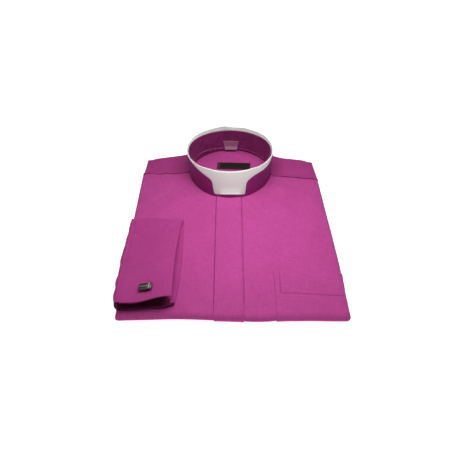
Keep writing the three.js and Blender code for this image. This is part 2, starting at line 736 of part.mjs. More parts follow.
function coreSolid() {
  const r = FOLD_R - INSET - GAP;
  const front = FOLD_R + 1.6;
  const loops = [];
  for (const deg of [76, 55, 30, 8]) {
    const a = (deg * Math.PI) / 180;
    loops.push(coreNose(front - r * Math.sin(a), Math.cos(a)));
  }
  const stations = [front, front + 2, 15, 24, 45, 75, 105, 135, 160, 173.8, 174.2, 190, 202, 209,
    216, 226, 240, 256, 272, 286, 296];
  for (const y of stations) loops.push(coreLoop(y));
  for (const { y, left, right } of CORE_BACK) loops.push(coreLoop(y, left, right));
  return loft(loops);
}

// ---------------------------------------------------------------- cufflink
function linkFrame() {
  const here = upperMid(LINK.x, LINK.y) + PAIR_OFF + CUFF / 2;
  const ex = upperMid(LINK.x + 6, LINK.y) - upperMid(LINK.x - 6, LINK.y);
  const ey = upperMid(LINK.x, LINK.y + 6) - upperMid(LINK.x, LINK.y - 6);
  const ax = new THREE.Vector3(12, 0, ex).normalize();
  const ay = new THREE.Vector3(0, 12, ey).normalize();
  const az = ax.clone().cross(ay).normalize();
  const basis = new THREE.Matrix4().makeBasis(ax, az.clone().cross(ax), az);
  basis.setPosition(LINK.x, LINK.y - ORIGIN_Y, here);
  return basis;
}

function linkHead() {
  const bevel = 0.7;
  const w = LINK.w / 2 - bevel;
  const d = LINK.d / 2 - bevel;
  const shape = new THREE.Shape();
  shape.moveTo(-w, -d);
  shape.lineTo(w, -d);
  shape.lineTo(w, d);
  shape.lineTo(-w, d);
  shape.closePath();
  const geometry = new THREE.ExtrudeGeometry(shape, {
    depth: LINK.h - 2 * bevel,
    bevelEnabled: true,
    bevelThickness: bevel,
    bevelSize: bevel,
    bevelSegments: 1,
    steps: 1,
  });
  geometry.translate(0, 0, bevel + LINK.post + 2 * GAP);
  geometry.applyMatrix4(linkFrame());
  return geometry;
}

function linkPost() {
  const geometry = new THREE.CylinderGeometry(2.2, 2.2, LINK.post, 16);
  geometry.rotateX(Math.PI / 2);
  geometry.translate(0, 0, LINK.post / 2 + GAP);
  geometry.applyMatrix4(linkFrame());
  return geometry;
}

// ---------------------------------------------------------------- assembly
const shirt = new THREE.Group();
shirt.name = 'clergy_shirt';

const MAGENTA = 0xc04f93;
function add(name, geometry, color, roughness, metalness = 0) {
  const material = new THREE.MeshStandardMaterial({ color, roughness, metalness });
  material.name = name;
  const mesh = new THREE.Mesh(geometry, material);
  mesh.name = name;
  shirt.add(mesh);
}

add('folded_layers', coreSolid(), MAGENTA, 0.85);
add('front_right', wall(rightGrid, moved(rightGrid, rightNormals, -CLOTH)), MAGENTA, 0.85);
add('front_left', wall(leftGrid, moved(leftGrid, leftNormals, -CLOTH)), MAGENTA, 0.85);

// placket strip over the meeting edges of both fronts
const stripOf = (grid) => grid.map((row) => row.slice(0, 3));
const across = (right, left) => stripOf(right).map((row, i) => [...row.reverse(), ...stripOf(left)[i]]);
const placketBed = across(rightGrid, leftGrid);
const placketNormals = across(rightNormals, leftNormals);
add('placket', wall(
  moved(placketBed, placketNormals, GAP + PLACKET_WALL),
  moved(placketBed, placketNormals, GAP),
), MAGENTA, 0.85);

// chest pocket from its top edge down over the front fold
const pocketRow = NECK_ROWS + BODY_ROWS.indexOf(POCKET.top);
const pocketCol = COLUMNS.indexOf(POCKET.left);
const pocketBed = leftGrid.slice(pocketRow, -1).map((row) => row.slice(pocketCol, -2));
const pocketNormals = leftNormals.slice(pocketRow, -1).map((row) => row.slice(pocketCol, -2));
const flatRows = NECK_ROWS + BODY_ROWS.length - pocketRow;
const flatCols = COLUMNS.length - pocketCol;
const pocketLift = (i, j) => GAP + (i > flatRows && j > flatCols ? 0.35 : 0.05);
const pocketTop = (i, j) => pocketLift(i, j) + (i <= 1 ? POCKET.hemWall : POCKET.wall);
add('pocket', wall(
  moved(pocketBed, pocketNormals, pocketTop),
  moved(pocketBed, pocketNormals, pocketLift),
), MAGENTA, 0.85);

const yoke = yokeGrid();
add('yoke', wall(yoke, moved(yoke, normals(yoke, false, -1), -CLOTH)), MAGENTA, 0.85);
add('yoke_inner', wall(floorGrid(0), floorGrid(BAND)), MAGENTA, 0.85);

add('collar_band_outer', ring(BAND, (a) => evenLevels(ringBase(a), bandTop(a), 3, 0)), 0x8f2a68, 0.8);
add('collar_insert', ring(BAND, insertLevels), 0xe9e4e2, 0.45);
add('collar_band_inner', ring(
  BAND,
  (a) => evenLevels(ringBase(a) + 0.2, innerTop(a), 2, 2 * BAND_STEP),
), 0x8f2a68, 0.8);
add('neck_label', wall(labelGrid(LABEL.wall), labelGrid(0)), 0x2b1a1f, 0.7);
const tabDepth = 2 * BAND_STEP + BAND + GAP;
add('size_tab', wall(tabGrid(tabDepth), tabGrid(tabDepth + SIZE_TAB.wall)), 0xcdb4c0, 0.5);
add('cuff', cuffWall(), MAGENTA, 0.85);
add('sleeve', sleeveWall(), MAGENTA, 0.85);
add('cufflink_head', linkHead(), 0x4a4549, 0.3, 0.9);
add('cufflink_post', linkPost(), 0x6a666a, 0.35, 0.9);

export default shirt;
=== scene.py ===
# Folded clergy shirt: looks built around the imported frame.
# Sizes are millimetres, in the frame of the part's own drawing, until a mesh is made.
from math import cos, hypot, pi, radians, sin
from types import SimpleNamespace as Sizes

import bmesh
import bpy
import numpy as np
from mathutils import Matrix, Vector


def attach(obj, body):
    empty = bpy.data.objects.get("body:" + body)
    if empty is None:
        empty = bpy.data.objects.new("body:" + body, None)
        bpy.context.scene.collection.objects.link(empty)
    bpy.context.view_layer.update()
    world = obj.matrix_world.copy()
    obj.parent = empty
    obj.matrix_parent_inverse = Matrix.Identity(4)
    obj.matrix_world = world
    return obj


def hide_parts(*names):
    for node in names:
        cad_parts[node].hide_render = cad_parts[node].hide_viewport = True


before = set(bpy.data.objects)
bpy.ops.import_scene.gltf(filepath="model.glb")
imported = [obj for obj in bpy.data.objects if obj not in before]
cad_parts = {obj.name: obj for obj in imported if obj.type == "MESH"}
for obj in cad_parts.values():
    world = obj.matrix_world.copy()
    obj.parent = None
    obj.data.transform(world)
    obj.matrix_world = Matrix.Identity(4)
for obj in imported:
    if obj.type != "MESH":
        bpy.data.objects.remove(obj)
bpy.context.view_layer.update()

# ---- driving sizes
MM = 0.001
ORIGIN_Y = 172.0  # front fold to the origin
GAP = 0.3
CLOTH = 1.1  # panel wall as seen at the edges
BAND = 1.2  # collar band wall
NECK_GAP = 0.35  # neckline edge to the collar
FOLD_R = 7.0  # plan width of the rounded folds
FOLD_ARC = 17.0  # cloth used up by one rolled fold
CORNER_POWER = 0.34  # below 1 squares the corners seen from above
SIDE_LIFT = 5.0
END_LIFT = 1.8
EDGE_Z = 12.0
# the upper cloth's swell: its middle, half width and height, and where along y it rises and drops
CROWN = Sizes(x=4, half=136, power=2.5, high=5.0, rises=(-10, 75), drop=4.2, drops=(250, 335))
# collar outline at its base and its rim
NECK = Sizes(x=2.3, y=285.5, rx=63.6, front=75.2, back=57.5)
RIM = Sizes(x=1.2, y=277.6, rx=65.25, front=58.7, back=58.7, z=57.0)
PLACKET_HALF = 17.8
POCKET = Sizes(left=57.0, top=68.0, hem=12.0)
LABEL = Sizes(x=7.4, y=297.2, w=52.5, l=17.6, turn=-0.05)
SIZE_TAB = Sizes(top=26.5, bottom=21.4, h=18.0, z=13.9, aside=1.2, tip=0.165, curl=2.6)
CUFF = Sizes(seam=-131.0, wrist=-66.5, edge=-135.5, near=10.0, far=163.6)
CUFF_WALL = 1.0
PAIR_SPLIT = 0.5
PAIR_TURN = 2.1
LINK = Sizes(x=-98.9, y=27.6, w=16.4, d=9.4, h=3.2, post=0.9)

# side folds: y, left, right
SIDES = [
    (-5, -135.4, 143.6), (40, -135.8, 143.3), (66, -136, 144), (98, -136, 143.6),
    (143, -136, 142.1), (193, -135.6, 140), (248, -134.8, 138), (272, -134.6, 136.9),
    (290, -132.8, 135.4), (325, -131.4, 133),
]
# end folds: x, front, neck end
ENDS = [
    (-150, -2, 313), (-131, -1.4, 317), (-118, -0.9, 322), (-100, -0.5, 324.5),
    (-69, 0.6, 331), (-45, 0.2, 342.5), (-20, -0.9, 352.5), (10, -1.6, 354),
    (24, -3, 351.5), (44, -3, 344), (60, -1.4, 334), (74, -0.7, 326), (88, -0.6, 320.5),
    (105, -0.7, 318.5), (122, -0.8, 316), (134, -1, 309), (150, -1.2, 305),
]
# yoke seam: x, y
SEAM = [
    (-150, 277.5), (-130, 277.2), (-120, 278), (-109, 273.4), (-98, 275.2), (-78, 273.2),
    (-68, 275.6), (65, 267), (136, 262.4), (150, 261.6),
]
# cuff in plan: y, wrist fold of the upper and of the lower pair of layers
WRIST = [
    (10, -67.7, -67), (28, -68, -64.2), (56, -68.2, -62.2), (90, -68.3, -61.4),
    (117, -67.2, -61.9), (132, -66.8, -62.3), (145, -65.7, -62.7), (158, -63.1, -63.1),
]
# cuff in plan: y, free edge
FREE_EDGE = [(8, -133.4), (30, -134.8), (60, -135.5), (160, -135.5)]
# outermost line of the sleeve: y, x
SLEEVE_EDGE = [
    (8, -138.2), (15, -138.4), (25, -140.9), (38, -141), (51, -142.2), (61, -140.8), (78, -141.6),
    (92, -142.1), (107, -141.5), (122, -141), (137, -140), (145, -139.4), (153, -140.3),
    (164, -139.8),
]
# top of the outer band: degrees from the front towards +X, distance under the rim
WINDOW = [
    (-180, 3.4), (-110, 3), (-84, 3.4), (-65, 4.2), (-57, 5), (-50, 6.9), (-42, 9.2),
    (-34, 12.3), (-29, 14.4), (-26.2, 16.4), (-24.9, 19), (-24.1, 24.6), (-23.5, 30.5),
    (-22.4, 35.9), (-20, 37.3), (0, 35.6), (18, 37.3), (20, 36.3), (20.8, 30.4),
    (21.4, 25), (22.4, 19.6), (25, 16.2), (29.4, 13.7), (34, 12), (42, 10.8), (53, 10.3),
    (66, 10), (80, 8), (95, 5), (115, 3.2), (180, 3.4),
]
# rim of the insert: degrees, rise over its level height
RIM_RISE = [
    (-180, 1.4), (-176, 2.2), (-172, 3.2), (-166, 2.8), (-159, 2.3), (-144, 1.9),
    (-134, 1.8), (-122, 1.2), (-110, 0.6), (-95, 0.1), (80, 0), (95, 0.5), (108, 1.6),
    (122, 2.4), (135, 2.1), (150, 2), (160, 2.1), (166, 1.5), (173, 1.2), (180, 1.4),
]
# top of the inner band: degrees either way from the front, distance under the rim
INNER_TOP = [(0, 3), (60, 1.4), (100, 1.2), (120, 2), (135, 3), (150, 3.7), (180, 4)]
# lower edge of the facing inside the collar: degrees, height
FACING_EDGE = [(-180, 16.4), (-167, 16.6), (-146, 18.7), (-125, 20.6), (-60, 18), (0, 15),
               (60, 15), (126, 15.1), (147, 15.4), (165, 16.2), (180, 16.4)]


# ---- small maths
def smooth(a, b, v):
    t = np.clip((v - a) / (b - a), 0, 1)
    return t * t * (3 - 2 * t)


def lerp(a, b, t):
    return a + (b - a) * t


def look(table, column, v):
    """Value of a table's column at v, with smooth joins between its rows."""
    rows = np.array(table, float)
    keys, vals = rows[:, 0], rows[:, column]
    v = np.clip(v, keys[0], keys[-1])
    before = np.maximum(np.arange(len(keys)) - 1, 0)
    after = np.minimum(before + 2, len(keys) - 1)
    after[0] = 1
    slopes = (vals[after] - vals[before]) / (keys[after] - keys[before])
    i = np.clip(np.searchsorted(keys, v, side="right") - 1, 0, len(keys) - 2)
    h = keys[i + 1] - keys[i]
    t = (v - keys[i]) / h
    t2, t3 = t * t, t * t * t
    return (
        (2 * t3 - 3 * t2 + 1) * vals[i] + (t3 - 2 * t2 + t) * h * slopes[i]
        + (3 * t2 - 2 * t3) * vals[i + 1] + (t3 - t2) * h * slopes[i + 1]
    )


def stack(*parts):
    """Points or thread coordinates from their parts."""
    return np.stack(np.broadcast_arrays(*parts), axis=-1)


def ridge(d, width):
    """Soft bump: 1 at no distance, fading over width."""
    return np.exp(-((d / width) ** 2))


def along(v, start, end, soft):
    """1 between start and end, fading out over soft at both."""
    return smooth(start - soft, start + soft, v) * (1 - smooth(end - soft, end + soft, v))


def spread(start, *runs):
    """Joined even runs from start on: each run is its end and its number of steps."""
    out = [start]
    for end, steps in runs:
        out += list(np.linspace(out[-1], end, steps + 1)[1:])
    return np.array(out)


def even_rows(a, b, count):
    """Even rows of a grid from a towards b, without b itself."""
    return lerp(a, b, np.linspace(0, 1, count, endpoint=False)[:, None])


def seam_y(x):
    return look(SEAM, 1, x)


def front_y(x):
    return look(ENDS, 1, x)


def back_y(x):
    return look(ENDS, 2, x)


def side_x(sign, y):
    return np.where(sign < 0, look(SIDES, 1, y), look(SIDES, 2, y))


def flat_edge(sign, y):
    """Where the flat cloth ends and the side fold begins: sign -1 left, 1 right."""
    return side_x(sign, y) - sign * FOLD_R


def nominal_edge(sign):
    """Half width of the flat cloth at the level that the columns are set out at."""
    return np.abs(flat_edge(sign, 100.0))


def top_z(x, y):
    """Height of the upper cloth over the table."""
    across = 1 - np.abs(np.clip((x - CROWN.x) / CROWN.half, -1, 1)) ** CROWN.power
    rise = CROWN.high * across * smooth(*CROWN.rises, y)
    return EDGE_Z + rise - CROWN.drop * smooth(*CROWN.drops, y)


# ---- creases of the pressed cloth
# x and y of each end, height, width
CREASES = [
    (-62, 214, -112, 168, 0.75, 9), (-40, 200, -70, 150, 0.5, 7), (-74, 248, -124, 232, 0.6, 8),
    (72, 238, 124, 214, 0.65, 9), (58, 216, 104, 158, 0.6, 10), (30, 196, 48, 128, 0.45, 8),
    (24, 204, 33, 192, 0.8, 3.2), (-52, 120, -30, 20, 0.5, 12), (44, 110, 60, 84, 0.35, 8),
    (90, 120, 132, 96, 0.45, 10), (-128, 226, -100, 196, 0.4, 7), (104, 252, 132, 240, 0.5, 6),
    (70, 30, 120, 18, 0.4, 8), (-60, 12, -20, 6, 0.35, 6),
]


def cloth_relief(x, y):
    """Soft unevenness of the pressed cloth: low waves and a few listed creases."""
    z = 0.22 * np.sin(x / 23 + 0.7 * np.sin(y / 41)) * np.sin(y / 37 + 1.3)
    z = z + 0.12 * np.sin(x / 9.5 + y / 21) * np.sin(y / 15 - x / 40)
    for x0, y0, x1, y1, high, wide in CREASES:
        length = hypot(x1 - x0, y1 - y0)
        ux, uy = (x1 - x0) / length, (y1 - y0) / length
        t = (x - x0) * ux + (y - y0) * uy
        d = -(x - x0) * uy + (y - y0) * ux
        shape = ridge(d, wide) - 0.75 * ridge(d - 1.6 * wide, wide)
        z = z + high * shape * along(t, 0, length, 0.3 * length)
    return z


# ---- mesh builders
def unit(v):
    return v / (np.linalg.norm(v, axis=-1, keepdims=True) + 1e-12)


def grid_normals(grid):
    return unit(np.cross(np.gradient(grid, axis=0), np.gradient(grid, axis=1)))


def up_normals(grid):
    """Normals turned so that they leave the body."""
    n = grid_normals(grid)
    middle = n[grid.shape[0] // 3, grid.shape[1] // 3]
    return n if middle[2] > 0 else -n


def relax(grid):
    """Evens a grid out a little, with its border kept."""
    grid = grid.copy()
    for _ in range(3):
        around = (grid[:-2, 1:-1] + grid[2:, 1:-1] + grid[1:-1, :-2] + grid[1:-1, 2:]) / 4
        grid[1:-1, 1:-1] = (grid[1:-1, 1:-1] + around) / 2
    return grid


def placed(name, data):
    """Object for some data, put into the scene."""
    obj = bpy.data.objects.new(name, data)
    bpy.context.scene.collection.objects.link(obj)
    return obj


def make_mesh(name, points, faces, uvs=None):
    """Mesh object from points in millimetres."""
    mesh = bpy.data.meshes.new(name)
    mesh.from_pydata(((points - [0, ORIGIN_Y, 0]) * MM).tolist(), [], faces)
    if uvs is not None:
        layer = mesh.uv_layers.new(name="cloth")
        index = np.empty(len(mesh.loops), dtype=np.int64)
        mesh.loops.foreach_get("vertex_index", index)
        layer.data.foreach_set("uv", uvs[index].ravel())
    bm = bmesh.new()
    bm.from_mesh(mesh)
    bmesh.ops.recalc_face_normals(bm, faces=bm.faces)
    bm.to_mesh(mesh)
    bm.free()
    mesh.shade_smooth()
    mesh.validate()
    return placed(name, mesh)


def quads(index):
    """Faces between the neighbours in a grid of point numbers."""
    corners = index[:-1, :-1], index[1:, :-1], index[1:, 1:], index[:-1, 1:]
    return np.stack(corners, axis=-1).reshape(-1, 4)


def closed(index):
    return np.column_stack([index, index[:, :1]])


def shell(name, outer, inner, uv, material, slot, *nodes, looped=False):
    """Closed cloth wall between two grids, with a rounded rim, dressed in its material."""
    rows, cols = outer.shape[:2]
    half = rows * cols
    outer, inner, uv = outer.reshape(-1, 3), inner.reshape(-1, 3), uv.reshape(-1, 2)
    index = np.arange(half).reshape(rows, cols)
    if looped:
        borders = [index[0], index[-1]]
        index = closed(index)
    else:
        borders = [np.concatenate([index[0], index[1:, -1], index[-1, -2::-1], index[-2:0:-1, 0]])]
    points, uvs = [outer, inner], [uv, uv]
    faces = [quads(index), half + quads(index)]
    for loop in borders:
        i, j = np.divmod(loop, cols)
        inside = np.clip(i, 1, rows - 2) * cols + (j if looped else np.clip(j, 1, cols - 2))
        away = unit(outer[loop] - outer[inside])
        thick = np.linalg.norm(outer[loop] - inner[loop], axis=1, keepdims=True)
        rim = sum(len(part) for part in points) + np.arange(len(loop))
        points.append((outer[loop] + inner[loop]) / 2 + away * thick / 2)
        uvs.append(uv[loop])
        faces.append(quads(closed(np.stack([loop, rim, half + loop]))))
    faces = np.concatenate(faces).tolist()
    obj = make_mesh(name, np.concatenate(points), faces, np.concatenate(uvs))
    return dress(obj, material, slot, *nodes)


def loft_faces(loops, count, base=0):
    """Faces of a closed solid through loops of count points each, from point number base on."""
    index = base + np.arange(loops * count).reshape(loops, count)
    return quads(closed(index)).tolist() + [index[0].tolist(), index[-1, ::-1].tolist()]


def loft(name, loops, material, slot, *nodes):
    """Closed solid through loops of the same count, with flat ends, dressed in its material."""
    loops = np.array(loops)
    obj = make_mesh(name, loops.reshape(-1, 3), loft_faces(*loops.shape[:2]))
    return dress(obj, material, slot, *nodes)


# ---- rolled panels
def rolled(sign, end, x, y, p, q):
    """Points of a panel that rolls over a side fold (p) and an end fold (q)."""
    w = np.maximum(p, q)
    small = np.minimum(p, q) / np.where(w > 0, w, 1)
    theta = np.where(p >= q, pi / 4 * small, pi / 2 - pi / 4 * small)
    theta = np.where(q <= 0, 0.0, theta)
    out = FOLD_R * np.sin(pi * w)
    top = top_z(x, y) + cloth_relief(x, y)
    low = lerp(END_LIFT, SIDE_LIFT, np.cos(theta) ** 4)
    mid, half = (top + low) / 2, (top - low) / 2
    return stack(
        x + sign * out * np.maximum(np.cos(theta), 0) ** CORNER_POWER,
        y + end * out * np.maximum(np.sin(theta), 0) ** CORNER_POWER,
        mid + half * np.cos(pi * w),
    )


def neckline_y(x, end, gap):
    t = np.clip((x - NECK.x) / (NECK.rx + gap), -1, 1)
    reach = NECK.front if end < 0 else NECK.back
    return NECK.y + end * (reach + gap) * np.sqrt(1 - t * t)


BEND_Y = 200.0  # rows of the fronts run level below this height
BEND_T = 0.25  # their t at that height
T_LONG = 200.0  # millimetres of cloth that one t stands for
T_END = 1 + FOLD_ARC / T_LONG
FAN_FROM = 76.0  # columns from here outward follow the slant of the side folds


def panel(sign, s, t):
    """Front points: s runs from the placket line outward, t from the neck (0) to the fold (1+)."""
    nominal = nominal_edge(sign)
    xn = sign * np.minimum(s, nominal)
    p = np.clip((s - nominal) / FOLD_ARC, 0, 1)
    inside = np.abs(xn - NECK.x) < NECK.rx + NECK_GAP
    seam = seam_y(xn) - GAP
    start = np.where(inside, np.minimum(neckline_y(xn, -1, NECK_GAP), seam), seam)
    last = front_y(xn) + FOLD_R
    top_part = np.clip(t / BEND_T, 0, 1)
    low_part = np.clip((t - BEND_T) / (1 - BEND_T), 0, 1)
    y = np.where(t < BEND_T, lerp(start, BEND_Y, top_part), lerp(BEND_Y, last, low_part))
    q = np.clip((t - 1) / (T_END - 1), 0, 1)
    share = np.clip((np.abs(xn) - FAN_FROM) / (nominal - FAN_FROM), 0, 1)
    x = xn + (flat_edge(sign, y) - sign * nominal) * share
    return rolled(sign, -1, x, y, p, q)


def panel_t(y, x=60.0):
    """The t of a level below the neck."""
    last = front_y(x) + FOLD_R
    return float(BEND_T + (1 - BEND_T) * (BEND_Y - y) / (BEND_Y - last))


# where the pieces lie in the weave, so that no two have the same slubs, in millimetres
PLACE = Sizes(placket=400, insert=500, pocket=900, facing=1000, yoke=1500, floor=2500, label=3000,
              tab=3300, cuff=3600, sleeve=4200)


def cloth_uv(s, t, shift):
    """Thread coordinates in millimetres, each piece at its own place in the weave."""
    return stack(s + shift, 270 - t * T_LONG)


# ---- materials
def wire(tree, node, inputs):
    """Set a node's inputs, or link those that are given a socket."""
    for key, value in inputs.items():
        if isinstance(value, bpy.types.NodeSocket):
            tree.links.new(value, node.inputs[key])
        else:
            node.inputs[key].default_value = value


def add(tree, kind, inputs=None, **settings):
    """Shader node with its settings made and its inputs set or linked."""
    made = tree.nodes.new("ShaderNode" + kind)
    for key, value in settings.items():
        setattr(made, key, value)
    wire(tree, made, inputs or {})
    return made


def calc(tree, operation, *values):
    return add(tree, "Math", dict(enumerate(values)), operation=operation).outputs[0]


def new_material(name):
    m = bpy.data.materials.new(name)
    m.use_nodes = True
    return m, m.node_tree, m.node_tree.nodes["Principled BSDF"]


def srgb(colour):
    return tuple(((c / 255 + 0.055) / 1.055) ** 2.4 if c > 10 else c / 255 / 12.92 for c in colour)


# threads: cycles a millimetre along and across a slub, its share of the tone, and how wavy
WEAVE = Sizes(long=0.085, across=0.95, streaks=0.8, wavy=0.6)


def cloth_material(name, dark, light, rough=0.82, sheen=0.1, pitch=0.42):
    """Plain end-on-end weave: crossed threads, slub streaks both ways and soft tone changes.
    The two tones are sRGB, and pitch is millimetres."""
    m, tree, shader = new_material(name)
    coords = add(tree, "TexCoord")
    uv = coords.outputs["UV"]
    wave = {"Vector": uv, "Scale": 2 * pi / pitch / 20, "Distortion": WEAVE.wavy,
            "Detail": 1.0, "Detail Scale": 0.6}
    threads = [add(tree, "TexWave", wave, bands_direction=axis).outputs["Fac"] for axis in "XY"]
    weave = calc(tree, "MULTIPLY", *threads)
    slubs = []
    for scale in ((WEAVE.long, WEAVE.across, 1), (WEAVE.across, WEAVE.long, 1)):
        turned = add(tree, "Mapping", {"Vector": uv, "Scale": scale}).outputs["Vector"]
        grain = {"Vector": turned, "Scale": 1.0, "Detail": 3.0, "Roughness": 0.6}
        slubs.append(add(tree, "TexNoise", grain).outputs["Fac"])
    slub = calc(tree, "ADD", *slubs)
    spots = {"Vector": coords.outputs["Object"], "Scale": 30.0, "Detail": 3.0}
    tone = add(tree, "TexNoise", spots).outputs["Fac"]
    streaks = WEAVE.streaks
    toned = calc(tree, "MULTIPLY_ADD", tone, 2.0 - 2.0 * streaks, -1.0 + streaks)
    mixed = calc(tree, "MULTIPLY_ADD", slub, streaks, toned)
    share = add(tree, "MapRange", {"Value": mixed, "From Min": 0.5, "From Max": 1.1})
    tones = {0: share.outputs["Result"], 6: (*srgb(dark), 1), 7: (*srgb(light), 1)}
    mix = add(tree, "Mix", tones, data_type="RGBA")
    normal = add(tree, "Bump", {"Height": weave, "Strength": 0.35, "Distance": 0.00012})
    normal = add(tree, "Bump", {"Height": slub, "Strength": 0.35, "Distance": 0.0002,
                                "Normal": normal.outputs["Normal"]})
    wire(tree, shader, {
        "Base Color": mix.outputs[2], "Roughness": rough, "Specular IOR Level": 0.2,
        "Sheen Weight": sheen, "Sheen Roughness": 0.5, "Sheen Tint": (*srgb(light), 1),
        "Normal": normal.outputs["Normal"],
    })
    return m


def plain_material(name, colour, rough, metal=0.0, grain=60.0, depth=0.0002, spec=0.5,
                   varied=0.06, stretch=(1, 1, 1)):
    """Smooth surface with fine tone and roughness changes and a slight texture."""
    m, tree, shader = new_material(name)
    coords = add(tree, "TexCoord")
    mapping = add(tree, "Mapping", {"Vector": coords.outputs["Object"], "Scale": stretch})
    specks = {"Vector": mapping.outputs["Vector"], "Scale": grain, "Detail": 5.0}
    noise = add(tree, "TexNoise", specks).outputs["Fac"]
    low = [max(c * (1 - varied), 0) for c in colour]
    high = [min(c * (1 + varied), 1) for c in colour]
    mix = add(tree, "Mix", {0: noise, 6: (*low, 1), 7: (*high, 1)}, data_type="RGBA")
    sheens = {"Value": noise, "To Min": rough * 0.85, "To Max": min(rough * 1.15, 1)}
    rough_map = add(tree, "MapRange", sheens)
    bump = add(tree, "Bump", {"Height": noise, "Strength": 0.3, "Distance": depth})
    wire(tree, shader, {
        "Base Color": mix.outputs[2], "Metallic": metal, "Specular IOR Level": spec,
        "Roughness": rough_map.outputs["Result"], "Normal": bump.outputs["Normal"],
    })
    return m


BODY = cloth_material("poplin_body", (170, 59, 127), (193, 76, 153))
# painted shade: the body's poplin in darker tones for the yoke
YOKE_PAINTED_SHADE = cloth_material("poplin_yoke_painted_shade", (156, 50, 115), (177, 63, 137))
# painted shade: the body's poplin in darker tones for the cuff and the sleeve
CUFFS_PAINTED_SHADE = cloth_material("poplin_cuff", (160, 52, 121), (181, 65, 140))
# painted shade: the body's poplin made dark for the cuff's mouth and the sleeve's end
CUFF_MOUTH_SHADE = cloth_material("poplin_cuff_mouth_painted_shade", (92, 20, 62), (112, 28, 78))
# The collar bands are darker than the body's poplin: partly their own deeper double cloth, partly
# painted shade
COLLAR = cloth_material("poplin_collar", (112, 20, 84), (158, 44, 126), rough=0.74)
FACING = cloth_material("poplin_facing", (98, 24, 72), (166, 66, 136), rough=0.74)
# painted highlight: the facing's poplin made lighter along its lower edge
FACING_HIGHLIGHT = cloth_material("poplin_facing_painted_highlight", (196, 130, 176), (214, 150, 194))
UNDER = cloth_material("poplin_hidden", (150, 50, 112), (168, 60, 128))
THREAD = cloth_material("thread", (140, 42, 100), (160, 54, 120), rough=0.55, pitch=0.3)
COLLAR_THREAD = cloth_material("collar_thread", (108, 24, 74), (126, 34, 90), rough=0.55, pitch=0.3)
WHITE = plain_material("collar_white", srgb((237, 247, 237)), 0.42, grain=90, varied=0.015,
                       depth=0.00008)
LABEL_CLOTH = cloth_material("label_weave", (38, 18, 24), (56, 32, 38), rough=0.6,
                             sheen=0.15, pitch=0.6)
LABEL_MIDDLE = cloth_material("label_middle_weave", (26, 18, 19), (38, 28, 29), rough=0.6, pitch=0.4)
LABEL_END = cloth_material("label_end_weave", (66, 40, 48), (84, 56, 64), rough=0.6,
                           sheen=0.15, pitch=0.6)
TAB = plain_material("tab_tape", srgb((172, 126, 150)), 0.5, grain=200, varied=0.05)
# painted shade for the size tab's curled lower end
TAB_PAINTED_SHADE = plain_material("tab_tape_painted_shade", srgb((74, 24, 52)), 0.6, grain=200, varied=0.03)
STEEL = plain_material("link_gunmetal", srgb((108, 94, 94)), 0.3, metal=0.95, grain=900,
                       varied=0.12, stretch=(0.05, 1, 1))
# painted highlight: lighter metal for the link's facet and strip
LINK_HIGHLIGHT = plain_material("link_painted_highlight", srgb((176, 168, 168)), 0.32, metal=0.95, grain=700,
                        varied=0.1, stretch=(1, 0.05, 1))


def dress(obj, material, slot, *nodes):
    obj.data.materials.append(material)
    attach(obj, "root")
    if nodes:
        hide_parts(*nodes)
    return obj


def second_material(obj, material, test):
    """Give a dressed object's faces another material where test holds: it reads the x, y and z
    of their middles in millimetres and their normals."""
    polygons = obj.data.polygons
    middle, normal = np.empty(len(polygons) * 3), np.empty(len(polygons) * 3)
    polygons.foreach_get("center", middle)
    polygons.foreach_get("normal", normal)
    x, y, z = middle.reshape(-1, 3).T / MM
    obj.data.materials.append(material)
    chosen = test(x, y + ORIGIN_Y, z, normal.reshape(-1, 3))
    polygons.foreach_set("material_index", chosen.astype(np.int32))


# ---- stitches
STITCH = Sizes(pitch=2.2, length=1.5, wide=0.3, lift=0.12, sides=6, flat=0.8)
SPINDLE = [(-0.5, 0.25), (-0.32, 0.85), (0.0, 1.0), (0.32, 0.85), (0.5, 0.25)]


def upright(x):
    return stack(0 * x, 0, 1)


def stitches(name, path, normals, slot="shirt_cloth", material=THREAD):
    """Separate lock stitches along a path: small flattened spindles half sunk in the cloth."""
    seg = np.linalg.norm(np.diff(path, axis=0), axis=1)
    run = np.concatenate([[0], np.cumsum(seg)])
    turn = 2 * pi * np.arange(STITCH.sides) / STITCH.sides

    def sample(values, at):
        return np.array([np.interp(at, run, values[:, k]) for k in range(3)])

    loops, faces = [], []
    for c in np.arange(STITCH.pitch / 2, run[-1], STITCH.pitch):
        here, ahead = sample(path, c), unit(sample(path, c + 0.4) - sample(path, c - 0.4))
        up = sample(normals, c)
        up = unit(up - ahead * (up @ ahead))
        side = np.cross(ahead, up)
        faces += loft_faces(len(SPINDLE), len(turn), len(loops) * len(turn))
        for place, swell in SPINDLE:
            reach = STITCH.wide / 2 * swell
            rise = STITCH.lift + np.sin(turn) * reach * STITCH.flat
            middle = here + ahead * place * STITCH.length
            loops.append(middle + np.outer(np.cos(turn) * reach, side) + np.outer(rise, up))
    return dress(make_mesh(name, np.concatenate(loops), faces), material, slot)


# ---- camera and light
SUN = Sizes(source=(-0.4, 0.15, 1.0), strength=0.3, angle=35)  # a broad distant light
# the lamp over the shirt: its place, its size in metres and its power in watts
SOFTBOX = Sizes(x=33, y=150, z=350, size=0.3, power=1.34)
WORLD = 0.15  # strength of the light from all round
FLOOR = Sizes(half=3.0, z=-0.0002, tone=0.6, glow=0.9)  # sizes in metres
# the camera: pixels across, focal length in pixels, degrees downward, and its place
PHOTO = Sizes(size=458, focal_px=520.0, down=43.6, y=-373.0, z=510.0)


